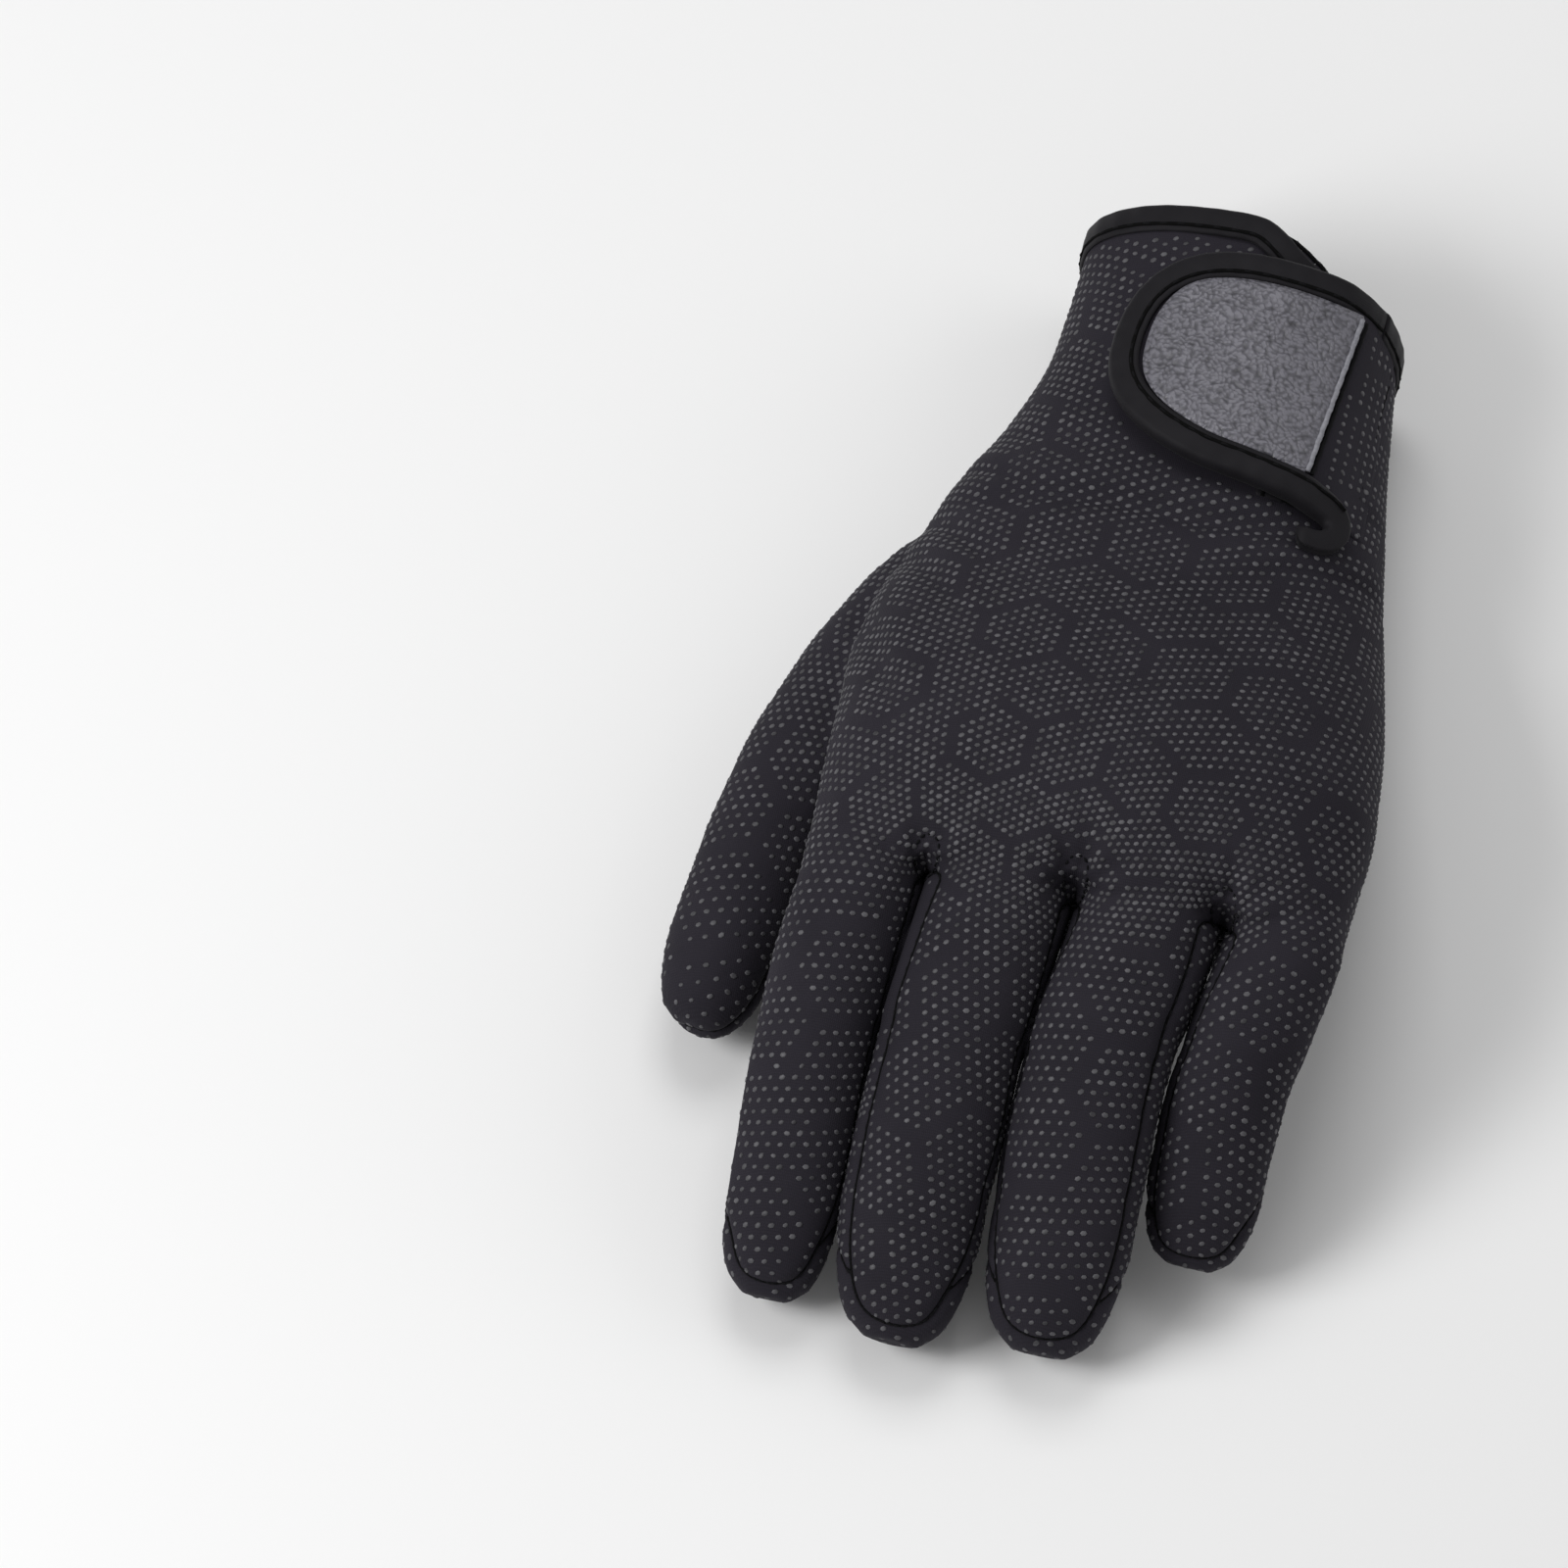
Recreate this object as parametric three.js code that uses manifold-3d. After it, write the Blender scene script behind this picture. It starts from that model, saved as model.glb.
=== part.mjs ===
// A thin neoprene diving glove for a left hand, lying palm down as it rests by itself.
// Millimetres. +X is the little finger's side, +Y the cuff, -Y the fingertips, +Z up (the back of the hand).
// The origin is the middle of the box's underside; the tables work from the crotch of middle and ring finger.
import * as THREE from 'three';
import { mergeVertices } from 'three/addons/utils/BufferGeometryUtils.js';
import Module from 'manifold-3d';

const wasm = await Module();
wasm.setup();

// Driving dimensions of the hand's form
const palm_length = 152.3;
const hand_breadth = 101;
const arch_height = 60;
const cuff_step = 11.4;
const wall = 1.8;
const clearance = 0.3;
const floor_press = 2.4;
const crotch_round = 6;

// Fingers and thumb
const finger_length = 76;
const finger_width = 26;
const finger_depth = 23;
const finger_drop = 34;
const root_height = 42.5;
const thumb_reach = 108;
const thumb_width = 24;
const thumb_height = 23;

// Closure tab, its patch and its fastener
const tab_nose = -16.1;
const tab_width = 49.2;
const tab_rise = 0.6;
const tab_gap = 3;
const slit_left = 19;
const slit_right = 31;
const slit_depth = 3.1;
const tab_root = 4;
const patch_thickness = 1;
const patch_edge = 25.2;
const patch_edge_lean = 4.4;
const pad_length = 19;
const pad_width = 18;
const pad_inset = 5;

// Edge binding
const binding_width = 6;
const tape = 0.8;
const curl_radius = 3.4;
const turn_round = 6.5;

// The tab's top lies level with the stepped side of the cuff, its slit ends past its lower edge, and the
// patch starts where the tape ends.
const tab_top = palm_length - cuff_step + clearance;
const tab_bottom = tab_top - tab_width;
const slit_root = tab_bottom - slit_depth;
const patch_inset = binding_width - tape;
const edge_lift_start = tab_top - 20;
const edge_lift_end = tab_top - 8;

// Facets
const palm_sides = 28;
const finger_sides = 12;
const seam_gap = clearance / 2;

// Sections of the hand from the crotch (along 0) to the cuff (along 1). along is a share of palm_length,
// left and right of hand_breadth, top, bottom, seam_thumb and seam_little of arch_height.
const PALM = [
  { along: -0.035, left: -0.47, right: 0.45, top: 0.77, bottom: 0.5, seam_thumb: 0.64, seam_little: 0.62 },
  { along: 0.0, left: -0.495, right: 0.468, top: 0.86, bottom: 0.4, seam_thumb: 0.63, seam_little: 0.58 },
  { along: 0.04, left: -0.505, right: 0.475, top: 0.93, bottom: 0.34, seam_thumb: 0.6, seam_little: 0.54 },
  { along: 0.12, left: -0.512, right: 0.481, top: 0.985, bottom: 0.27, seam_thumb: 0.55, seam_little: 0.47 },
  { along: 0.22, left: -0.515, right: 0.485, top: 1.0, bottom: 0.19, seam_thumb: 0.47, seam_little: 0.38 },
  { along: 0.36, left: -0.52, right: 0.457, top: 0.91, bottom: 0.05, seam_thumb: 0.33, seam_little: 0.26 },
  { along: 0.49, left: -0.485, right: 0.421, top: 0.8, bottom: -0.02, seam_thumb: 0.24, seam_little: 0.19 },
  { along: 0.6, left: -0.425, right: 0.391, top: 0.765, bottom: -0.035, seam_thumb: 0.2, seam_little: 0.16 },
  { along: 0.71, left: -0.35, right: 0.362, top: 0.74, bottom: -0.04, seam_thumb: 0.18, seam_little: 0.15 },
  { along: 0.82, left: -0.297, right: 0.335, top: 0.717, bottom: -0.03, seam_thumb: 0.17, seam_little: 0.15 },
  { along: 0.92, left: -0.281, right: 0.322, top: 0.703, bottom: -0.01, seam_thumb: 0.17, seam_little: 0.15 },
  { along: 1.06, left: -0.275, right: 0.322, top: 0.7, bottom: 0.02, seam_thumb: 0.17, seam_little: 0.15 },
];

// Creases across the back of the hand: along, spread and depth as shares of palm_length and wall,
// centre and reach across as shares of hand_breadth.
const FOLDS = [
  { along: 0.565, spread: 0.018, depth: 0.75, centre: 0.0, reach: 0.42 },
  { along: 0.525, spread: 0.016, depth: 0.55, centre: 0.28, reach: 0.16 },
  { along: 0.47, spread: 0.014, depth: 0.6, centre: -0.42, reach: 0.14 },
];

// The four fingers: root, tip and outer sizes as shares of hand_breadth, finger_length, finger_width,
// finger_depth and finger_drop. seam columns are the seams' heights as shares of half the depth.
const FINGERS = [
  { name: 'index', root: -0.399, tip: -0.43, length: 0.93, width: 0.846, depth: 0.93, drop: 1.0,
    seams: { left_up: -0.3, left_low: -0.3, right_up: 0.3, right_low: -0.55 } },
  { name: 'middle', root: -0.1485, tip: -0.18, length: 1.0, width: 1.027, depth: 1.0, drop: 1.0,
    seams: { left_up: 0.62, left_low: -0.6, right_up: 0.3, right_low: -0.55 } },
  { name: 'ring', root: 0.1238, tip: 0.093, length: 0.955, width: 1.019, depth: 0.98, drop: 1.0,
    seams: { left_up: 0.3, left_low: -0.55, right_up: 0.62, right_low: -0.6 } },
  { name: 'little', root: 0.3713, tip: 0.349, length: 0.665, width: 0.831, depth: 0.84, drop: 0.9,
    seams: { left_up: 0.62, left_low: -0.6, right_up: -0.12, right_low: -0.12 } },
];

// How each finger runs and swells from its root inside the hand (along below 0) to its tip (along 1).
const FINGER_RUN = [
  { along: -0.26, drop: 0.1, width: 0.86, depth: 0.82 },
  { along: -0.1, drop: 0.02, width: 0.96, depth: 0.95 },
  { along: 0.08, drop: 0.05, width: 1.0, depth: 1.0 },
  { along: 0.4, drop: 0.32, width: 0.99, depth: 0.99 },
  { along: 0.72, drop: 0.7, width: 0.96, depth: 0.92 },
  { along: 0.85, drop: 0.86, width: 0.86, depth: 0.82 },
  { along: 0.94, drop: 0.96, width: 0.66, depth: 0.64 },
  { along: 0.985, drop: 1.0, width: 0.36, depth: 0.36 },
];

// The thumb's route and sizes: across and along as shares of thumb_reach, height of thumb_height,
// width and depth of thumb_width.
const THUMB = [
  { across: -0.2, along: 0.86, height: 0.87, width: 0.9, depth: 0.85 },
  { across: -0.34, along: 0.7, height: 0.85, width: 1.15, depth: 1.1 },
  { across: -0.435, along: 0.54, height: 0.83, width: 1.14, depth: 1.08 },
  { across: -0.515, along: 0.36, height: 0.78, width: 1.04, depth: 1.0 },
  { across: -0.565, along: 0.2, height: 0.72, width: 0.96, depth: 0.95 },
  { across: -0.592, along: 0.04, height: 0.65, width: 0.92, depth: 0.9 },
  { across: -0.61, along: -0.08, height: 0.57, width: 0.82, depth: 0.8 },
  { across: -0.623, along: -0.15, height: 0.52, width: 0.6, depth: 0.6 },
  { across: -0.63, along: -0.178, height: 0.5, width: 0.3, depth: 0.3 },
];

// Small mathematics

function clamp(value, low, high) {
  return Math.min(high, Math.max(low, value));
}

function smooth(low, high, value) {
  const t = clamp((value - low) / (high - low), 0, 1);
  return t * t * (3 - 2 * t);
}

function bump(distance) {
  return Math.exp(-distance * distance);
}

// A smooth curve through one column of a table, read at any value of another column.
function column(table, key, by, value) {
  const last = table.length - 1;
  let i = 0;
  while (i < last - 1 && value > table[i + 1][by]) i += 1;
  const p1 = table[i];
  const p2 = table[i + 1];
  const p0 = table[Math.max(i - 1, 0)];
  const p3 = table[Math.min(i + 2, last)];
  const span = p2[by] - p1[by];
  const t = clamp((value - p1[by]) / span, 0, 1);
  const m1 = ((p2[key] - p0[key]) / (p2[by] - p0[by])) * span;
  const m2 = ((p3[key] - p1[key]) / (p3[by] - p1[by])) * span;
  const t2 = t * t;
  const t3 = t2 * t;
  return (2 * t3 - 3 * t2 + 1) * p1[key] + (t3 - 2 * t2 + t) * m1
    + (3 * t2 - 2 * t3) * p2[key] + (t3 - t2) * m2;
}

// Solids from meshes, and meshes from solids

function solid(geometry) {
  const bare = geometry.clone();
  bare.deleteAttribute('normal');
  bare.deleteAttribute('uv');
  const merged = mergeVertices(bare, 1e-4);
  return new wasm.Manifold(new wasm.Mesh({
    numProp: 3,
    vertProperties: merged.attributes.position.array,
    triVerts: new Uint32Array(merged.index.array),
  }));
}

function geometryOf(manifold) {
  const mesh = manifold.getMesh();
  const geometry = new THREE.BufferGeometry();
  geometry.setAttribute('position', new THREE.BufferAttribute(new Float32Array(mesh.vertProperties), 3));
  geometry.setIndex(new THREE.BufferAttribute(new Uint32Array(mesh.triVerts), 1));
  geometry.computeVertexNormals();
  return geometry;
}

// A solid from a closed skin of triangles, turned inside out where they face inwards.
function closed(position, index) {
  const geometry = new THREE.BufferGeometry();
  geometry.setAttribute('position', new THREE.BufferAttribute(new Float32Array(position), 3));
  geometry.setIndex(index);
  const made = solid(geometry);
  if (made.volume() > 0) return made;
  geometry.setIndex(index.map((_, i) => index[i - (i % 3) + (2 - (i % 3))]));
  return solid(geometry);
}

// A closed tube through rings of equal count, with flat fans over its two ends.
function loft(rings) {
  const sides = rings[0].length;
  const position = [];
  const index = [];
  for (const ring of rings) {
    for (const point of ring) position.push(point.x, point.y, point.z);
  }
  for (let r = 0; r + 1 < rings.length; r += 1) {
    for (let s = 0; s < sides; s += 1) {
      const a = r * sides + s;
      const b = r * sides + ((s + 1) % sides);
      index.push(a, b, b + sides, a, b + sides, a + sides);
    }
  }
  const ends = [0, rings.length - 1];
  for (const end of ends) {
    const middle = new THREE.Vector3();
    for (const point of rings[end]) middle.addScaledVector(point, 1 / sides);
    const hub = position.length / 3;
    position.push(middle.x, middle.y, middle.z);
    for (let s = 0; s < sides; s += 1) {
      const a = end * sides + s;
      const b = end * sides + ((s + 1) % sides);
      if (end === 0) index.push(hub, b, a);
      else index.push(hub, a, b);
    }
  }
  return closed(position, index);
}

// A closed slab between two grids of points with the same rows and columns.
function slab(lower, upper) {
  const rings = lower.map((row, r) => [...row, ...[...upper[r]].reverse()]);
  const sides = rings[0].length;
  const columns = sides / 2;
  const position = [];
  const index = [];
  for (const ring of rings) {
    for (const point of ring) position.push(point.x, point.y, point.z);
  }
  for (let r = 0; r + 1 < rings.length; r += 1) {
    for (let s = 0; s < sides; s += 1) {
      const a = r * sides + s;
      const b = r * sides + ((s + 1) % sides);
      if (s < columns) index.push(a, b, b + sides, a, b + sides, a + sides);
      else index.push(a, b, a + sides, b, b + sides, a + sides);
    }
  }
  for (const r of [0, rings.length - 1]) {
    for (let c = 0; c + 1 < columns; c += 1) {
      const a = r * sides + c;
      const b = a + 1;
      const above = r * sides + sides - 1 - c;
      if (r === 0) index.push(b, a, above, b, above, above - 1);
      else index.push(a, b, above, b, above - 1, above);
    }
  }
  return closed(position, index);
}

// An upright prism over a plan outline.
function prism(points, low, high) {
  const shape = new THREE.Shape(points);
  const geometry = new THREE.ExtrudeGeometry(shape, { depth: high - low, bevelEnabled: false });
  geometry.translate(0, 0, low);
  return solid(geometry);
}

// The hand's tube

const superness = 2.35;

function handSection(y) {
  const along = y / palm_length;
  const left = column(PALM, 'left', 'along', along) * hand_breadth;
  const right = column(PALM, 'right', 'along', along) * hand_breadth;
  const top = column(PALM, 'top', 'along', along) * arch_height;
  const bottom = column(PALM, 'bottom', 'along', along) * arch_height - bottomPress(y);
  return {
    centre: (left + right) / 2,
    half: (right - left) / 2,
    middle: (top + bottom) / 2,
    tall: (top - bottom) / 2,
  };
}

// The wrist is pressed flat where it lies, and its bound edge lies on the binding.
function bottomPress(y) {
  return floor_press * smooth(0.42, 0.5, y / palm_length) * (1 - smooth(0.9, 0.97, y / palm_length));
}

function restHeight(y) {
  return (tape + clearance) * smooth(edge_lift_start, edge_lift_end, y);
}

function foldDepth(x, y, up) {
  let depth = 0;
  for (const fold of FOLDS) {
    const across = (x - fold.centre * hand_breadth) / (fold.reach * hand_breadth);
    const run = (y - fold.along * palm_length) / (fold.spread * palm_length);
    depth += fold.depth * wall * bump(across) * bump(run);
  }
  return depth * clamp(up * 2, 0, 1);
}

function power(value) {
  return Math.sign(value) * Math.abs(value) ** (2 / superness);
}

// A point of the hand's tube at an angle round it, offset from the outer surface.
function handPoint(angle, y, offset) {
  const s = handSection(y);
  const up = Math.sin(angle);
  const x0 = s.centre + s.half * power(Math.cos(angle));
  const off = offset - foldDepth(x0, y, up);
  const x = s.centre + (s.half + off) * power(Math.cos(angle));
  const z = s.middle + (s.tall + off) * power(up);
  return new THREE.Vector3(x, y, Math.max(z, restHeight(y) - offset));
}

// The angle at which the hand's upper side, offset outwards, stands over a place across it.
function angleAt(x, y, offset = 0) {
  const s = handSection(y);
  const share = clamp((x - s.centre) / (s.half + offset), -0.999, 0.999);
  return Math.acos(Math.sign(share) * Math.abs(share) ** (superness / 2));
}

function handStations(from, to) {
  const stations = PALM.map((row) => row.along * palm_length);
  for (const fold of FOLDS.slice(0, 2)) {
    stations.push((fold.along - fold.spread) * palm_length);
    stations.push(fold.along * palm_length);
    stations.push((fold.along + fold.spread) * palm_length);
  }
  stations.push(edge_lift_start, edge_lift_end);
  const sorted = stations.filter((y) => y > from && y < to).sort((a, b) => a - b);
  const kept = [from];
  for (const y of sorted) {
    if (y - kept[kept.length - 1] > 1.6 && to - y > 1.6) kept.push(y);
  }
  kept.push(to);
  return kept;
}

function handTube(offset, from, to) {
  const rings = handStations(from, to).map((y) => {
    const ring = [];
    for (let s = 0; s < palm_sides; s += 1) {
      ring.push(handPoint((2 * Math.PI * (s + 0.5)) / palm_sides, y, offset));
    }
    return ring;
  });
  return loft(rings);
}

// A limb is a tube along a route of points, each with its own half width and half depth.
function limb(route, offset) {
  const rings = route.map((stop, i) => {
    const before = route[Math.max(i - 1, 0)].at;
    const after = route[Math.min(i + 1, route.length - 1)].at;
    const ahead = new THREE.Vector3().subVectors(after, before).normalize();
    const side = new THREE.Vector3().crossVectors(ahead, new THREE.Vector3(0, 0, 1)).normalize();
    const up = new THREE.Vector3().crossVectors(side, ahead);
    const slide = stop.cap ? offset : 0;
    const ring = [];
    for (let s = 0; s < finger_sides; s += 1) {
      const angle = (2 * Math.PI * (s + 0.5)) / finger_sides;
      const point = stop.at.clone().addScaledVector(ahead, slide);
      point.addScaledVector(side, (stop.half + offset) * Math.cos(angle));
      point.addScaledVector(up, (stop.tall + offset) * Math.sin(angle));
      point.z = Math.max(point.z, -offset);
      ring.push(point);
    }
    return ring;
  });
  return loft(rings);
}

function fingerAxis(finger, along) {
  const run = finger.length * finger_length;
  const low = finger_drop * finger.drop;
  const x = hand_breadth * (finger.root + (finger.tip - finger.root) * Math.max(along, 0));
  const depth = finger.depth * finger_depth;
  const z = root_height - (finger_depth - depth) / 2 - low * column(FINGER_RUN, 'drop', 'along', along);
  return new THREE.Vector3(x, -along * run, z);
}

function fingerRoute(finger) {
  return FINGER_RUN.map((stop, i) => ({
    at: fingerAxis(finger, stop.along),
    half: (finger.width * finger_width * stop.width) / 2,
    tall: (finger.depth * finger_depth * stop.depth) / 2,
    cap: i >= FINGER_RUN.length - 2,
  }));
}

function thumbRoute() {
  return THUMB.map((stop, i) => ({
    at: new THREE.Vector3(stop.across * thumb_reach, stop.along * thumb_reach, stop.height * thumb_height),
    half: (stop.width * thumb_width) / 2,
    tall: (stop.depth * thumb_width) / 2,
    cap: i >= THUMB.length - 2,
  }));
}

function handForm(offset, cuff) {
  let form = handTube(offset, PALM[0].along * palm_length - offset, cuff);
  for (const finger of FINGERS) form = form.add(limb(fingerRoute(finger), offset));
  return form.add(limb(thumbRoute(), offset));
}

// The cuff's edge steps back on the little finger's side.
function cuffLine(x) {
  const share = x / hand_breadth;
  return palm_length - cuff_step * smooth(0.04, 0.3, share);
}

function cuffRegion(grow) {
  const wide = hand_breadth;
  const points = [new THREE.Vector2(-wide, -2 * finger_length), new THREE.Vector2(wide, -2 * finger_length)];
  const steps = 11;
  for (let i = 0; i <= steps; i += 1) {
    const x = wide * (0.4 - (0.75 * i) / steps);
    points.push(new THREE.Vector2(i === 0 ? wide : x, cuffLine(x) + grow));
  }
  points.push(new THREE.Vector2(-wide, palm_length + grow));
  return prism(points, -arch_height, 2 * arch_height);
}

// The slit in the upper side of the wrist, with round corners at its foot and at the cuff.
function slitRegion(shrink) {
  const round = turn_round;
  const left = slit_left + shrink;
  const right = slit_right;
  const foot = slit_root + shrink;
  const edge = cuffLine(slit_left);
  const shape = [
    new THREE.Vector2(right, foot),
    new THREE.Vector2(right, 2 * palm_length),
    new THREE.Vector2(left - round, 2 * palm_length),
    new THREE.Vector2(left - round, edge + round),
  ];
  const steps = 4;
  for (let i = 0; i <= steps; i += 1) {
    const turn = (Math.PI / 2) * (i / steps);
    shape.push(new THREE.Vector2(left - round + round * Math.sin(turn), edge - round + round * Math.cos(turn)));
  }
  shape.push(new THREE.Vector2(left, foot));
  return prism(shape, arch_height * 0.45, 2 * arch_height);
}

// The tab's outline in plan, grown outwards. Its right side runs on past the tab's root.
function tabEdge() {
  const reach = slit_right - tab_nose;
  const at = (across, up) => new THREE.Vector2(tab_nose + across * reach, tab_bottom + up * tab_width);
  const start = new THREE.Vector2(slit_right + tab_root, tab_top - tab_rise);
  const shoulder = at(0.57, 1);
  const nose = at(0, 0.51);
  const chin = at(0.44, 0.073);
  const heel = at(0.89, 0);
  const curve = new THREE.CurvePath();
  curve.add(new THREE.LineCurve(start, shoulder));
  curve.add(new THREE.CubicBezierCurve(shoulder, at(0.17, 1.02), at(0, 0.86), nose));
  curve.add(new THREE.CubicBezierCurve(nose, at(0, 0.29), at(0.17, 0.152), chin));
  curve.add(new THREE.LineCurve(chin, heel));
  return curve;
}

function tabOutline(grow) {
  const points = [];
  const curves = tabEdge().curves;
  const parts = [1, 9, 8, 1];
  curves.forEach((curve, c) => {
    for (let i = 0; i < parts[c]; i += 1) {
      const at = curve.getPoint(i / parts[c]);
      const along = curve.getTangent(i / parts[c]);
      points.push(new THREE.Vector2(at.x - along.y * -grow, at.y + along.x * -grow));
    }
  });
  const heel = curves[curves.length - 1].getPoint(1);
  points.push(new THREE.Vector2(heel.x, heel.y - grow));
  points.push(new THREE.Vector2(hand_breadth, heel.y - grow));
  points.push(new THREE.Vector2(hand_breadth, tab_top - tab_rise + grow));
  return points;
}

// How far the tab's underside stands off the wrist's outer surface: one wall deep where it grows out of
// the wrist, and clear of the fastener where it lies over it.
function tabUnder(x) {
  return -wall + (wall + tab_gap) * (1 - smooth(slit_left + wall, slit_right + tab_root, x));
}

// A curved sheet over the wrist between two offsets.
function wristSheet(low, high, x_left, angle_right, from, to, across, lengthwise) {
  const lower = [];
  const upper = [];
  for (let r = 0; r <= lengthwise; r += 1) {
    const y = from + ((to - from) * r) / lengthwise;
    const start = angleAt(x_left, y);
    const lowerRow = [];
    const upperRow = [];
    for (let c = 0; c <= across; c += 1) {
      const angle = start + ((angle_right - start) * c) / across;
      const x = handPoint(angle, y, 0).x;
      lowerRow.push(handPoint(angle, y, low(x)));
      upperRow.push(handPoint(angle, y, high(x)));
    }
    lower.push(lowerRow);
    upper.push(upperRow);
  }
  return slab(lower, upper);
}

function tabSheet(grow) {
  const margin = binding_width;
  const reach = tab_nose - margin;
  const low = (x) => tabUnder(x) - grow;
  const high = (x) => tabUnder(x) + wall + grow;
  const around = 0.25;
  const sheet = wristSheet(low, high, reach, around, tab_bottom - margin, tab_top + margin, 10, 7);
  return sheet.intersect(prism(tabOutline(grow), 0.3 * arch_height, 2 * arch_height));
}

function patchSheet() {
  const low = () => tab_gap + wall + clearance;
  const high = () => tab_gap + wall + clearance + patch_thickness;
  const right = angleAt(slit_right, tab_top);
  const sheet = wristSheet(low, high, tab_nose - wall, right, tab_bottom, tab_top, 9, 7);
  const edge = [
    new THREE.Vector2(-hand_breadth, tab_bottom),
    new THREE.Vector2(patch_edge - patch_edge_lean / 2, tab_bottom),
    new THREE.Vector2(patch_edge + patch_edge_lean / 2, tab_top),
    new THREE.Vector2(-hand_breadth, tab_top),
  ];
  const inside = prism(tabOutline(-patch_inset), 0, 2 * arch_height);
  return sheet.intersect(inside).intersect(prism(edge, 0, 2 * arch_height));
}

function padSheet() {
  const low = () => clearance;
  const high = () => tab_gap - clearance;
  const middle = (tab_top + tab_bottom) / 2;
  const from = middle - pad_length / 2;
  const left = tab_nose + binding_width + pad_inset;
  return wristSheet(low, high, left, angleAt(left + pad_width, middle), from, from + pad_length, 5, 4);
}

// Binding

// A tape folded over an edge: a rounded bar along the edge, later cut by the grown cloth inside it.
function edgeBar(stops) {
  const thick = wall / 2 + clearance + tape;
  const outward = clearance + tape;
  const inward = binding_width - outward;
  const chamfer = tape * 0.6;
  const section = [
    [-inward, -thick], [outward - chamfer, -thick], [outward, -thick + chamfer],
    [outward, thick - chamfer], [outward - chamfer, thick], [-inward, thick],
  ];
  const rings = stops.map((stop, i) => {
    const before = stops[Math.max(i - 1, 0)].at;
    const after = stops[Math.min(i + 1, stops.length - 1)].at;
    const ahead = new THREE.Vector3().subVectors(after, before).normalize();
    const out = new THREE.Vector3().crossVectors(stop.normal, ahead).normalize();
    const normal = new THREE.Vector3().crossVectors(ahead, out).normalize();
    return section.map(([u, v]) => {
      const point = stop.at.clone().addScaledVector(out, u).addScaledVector(normal, v);
      point.z = Math.max(point.z, 0);
      return point;
    });
  });
  return loft(rings);
}

// The way out of the hand's surface, square to the run round it.
function handNormal(angle, y, offset) {
  const turn = 0.05;
  const before = handPoint(angle - turn, y, offset);
  const after = handPoint(angle + turn, y, offset);
  return new THREE.Vector3(after.z - before.z, 0, before.x - after.x).normalize();
}

// A stop of a binding: a place on the offset surface with the way out of it.
function edgeStop(angle, y, offset) {
  return { at: handPoint(angle, y, offset), normal: handNormal(angle, y, offset) };
}

// Where the cuff's binding and the tab's binding meet, across the hand.
function bindingMeet() {
  return slit_right - 2;
}

// From the slit's foot up its left edge, round the cuff and back over the little finger's side to the tab.
function cuffEdgeStops() {
  const stops = [];
  const round = turn_round;
  const foot = slit_root + curl_radius;
  const edge = cuffLine(slit_left);
  const plan = [];
  const steps = 5;
  for (let i = 0; i < steps; i += 1) {
    plan.push([slit_left, foot + ((edge - round - foot) * i) / steps]);
  }
  const turns = 4;
  for (let i = 0; i <= turns; i += 1) {
    const turn = (Math.PI / 2) * (i / turns);
    const x = slit_left - round + round * Math.cos(turn);
    plan.push([x, edge - round + round * Math.sin(turn)]);
  }
  for (const [x, y] of plan) stops.push(edgeStop(angleAt(x, y, -wall / 2), y, -wall / 2));
  const first = angleAt(slit_left - 1.6 * round, edge);
  const last = 2 * Math.PI + angleAt(bindingMeet(), tab_top);
  const loops = 21;
  for (let i = 0; i <= loops; i += 1) {
    const angle = first + ((last - first) * i) / loops;
    const x = handPoint(angle, tab_top, 0).x;
    const y = cuffLine(x);
    stops.push(edgeStop(angle, y, angle > 1.5 * Math.PI ? tabUnder(x) + wall / 2 : -wall / 2));
  }
  return stops.reverse();
}

// Along the tab's edge from its top, round its nose to the slit's foot, and round that in a curl.
function tabEdgeStops() {
  const stops = [];
  const curves = tabEdge().curves;
  const parts = [5, 9, 8, 3];
  const start = tabEdge().getPoint(0).x;
  const from = [(start - bindingMeet() + clearance) / (start - curves[0].getPoint(1).x), 0, 0, 0];
  const resting = wall / 2 + tape + 2 * clearance;
  curves.forEach((curve, c) => {
    for (let i = 0; i < parts[c]; i += 1) {
      const at = curve.getPoint(from[c] + ((1 - from[c]) * i) / parts[c]);
      const over = Math.max(tabUnder(at.x) + wall / 2, resting);
      stops.push(edgeStop(angleAt(at.x, at.y, over), at.y, over));
    }
  });
  const turns = 6;
  const middle = slit_right - 1.2 * curl_radius;
  const curl = [];
  for (let i = 0; i <= turns; i += 1) {
    const turn = Math.PI * (i / turns);
    curl.push([middle + curl_radius * Math.sin(turn), tab_bottom - curl_radius * (1 - Math.cos(turn))]);
  }
  curl.push([middle - curl_radius, tab_bottom - 1.9 * curl_radius]);
  for (const [x, y] of curl) stops.push(edgeStop(angleAt(x, y, resting), y, resting));
  return stops.reverse();
}

// Seams

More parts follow.
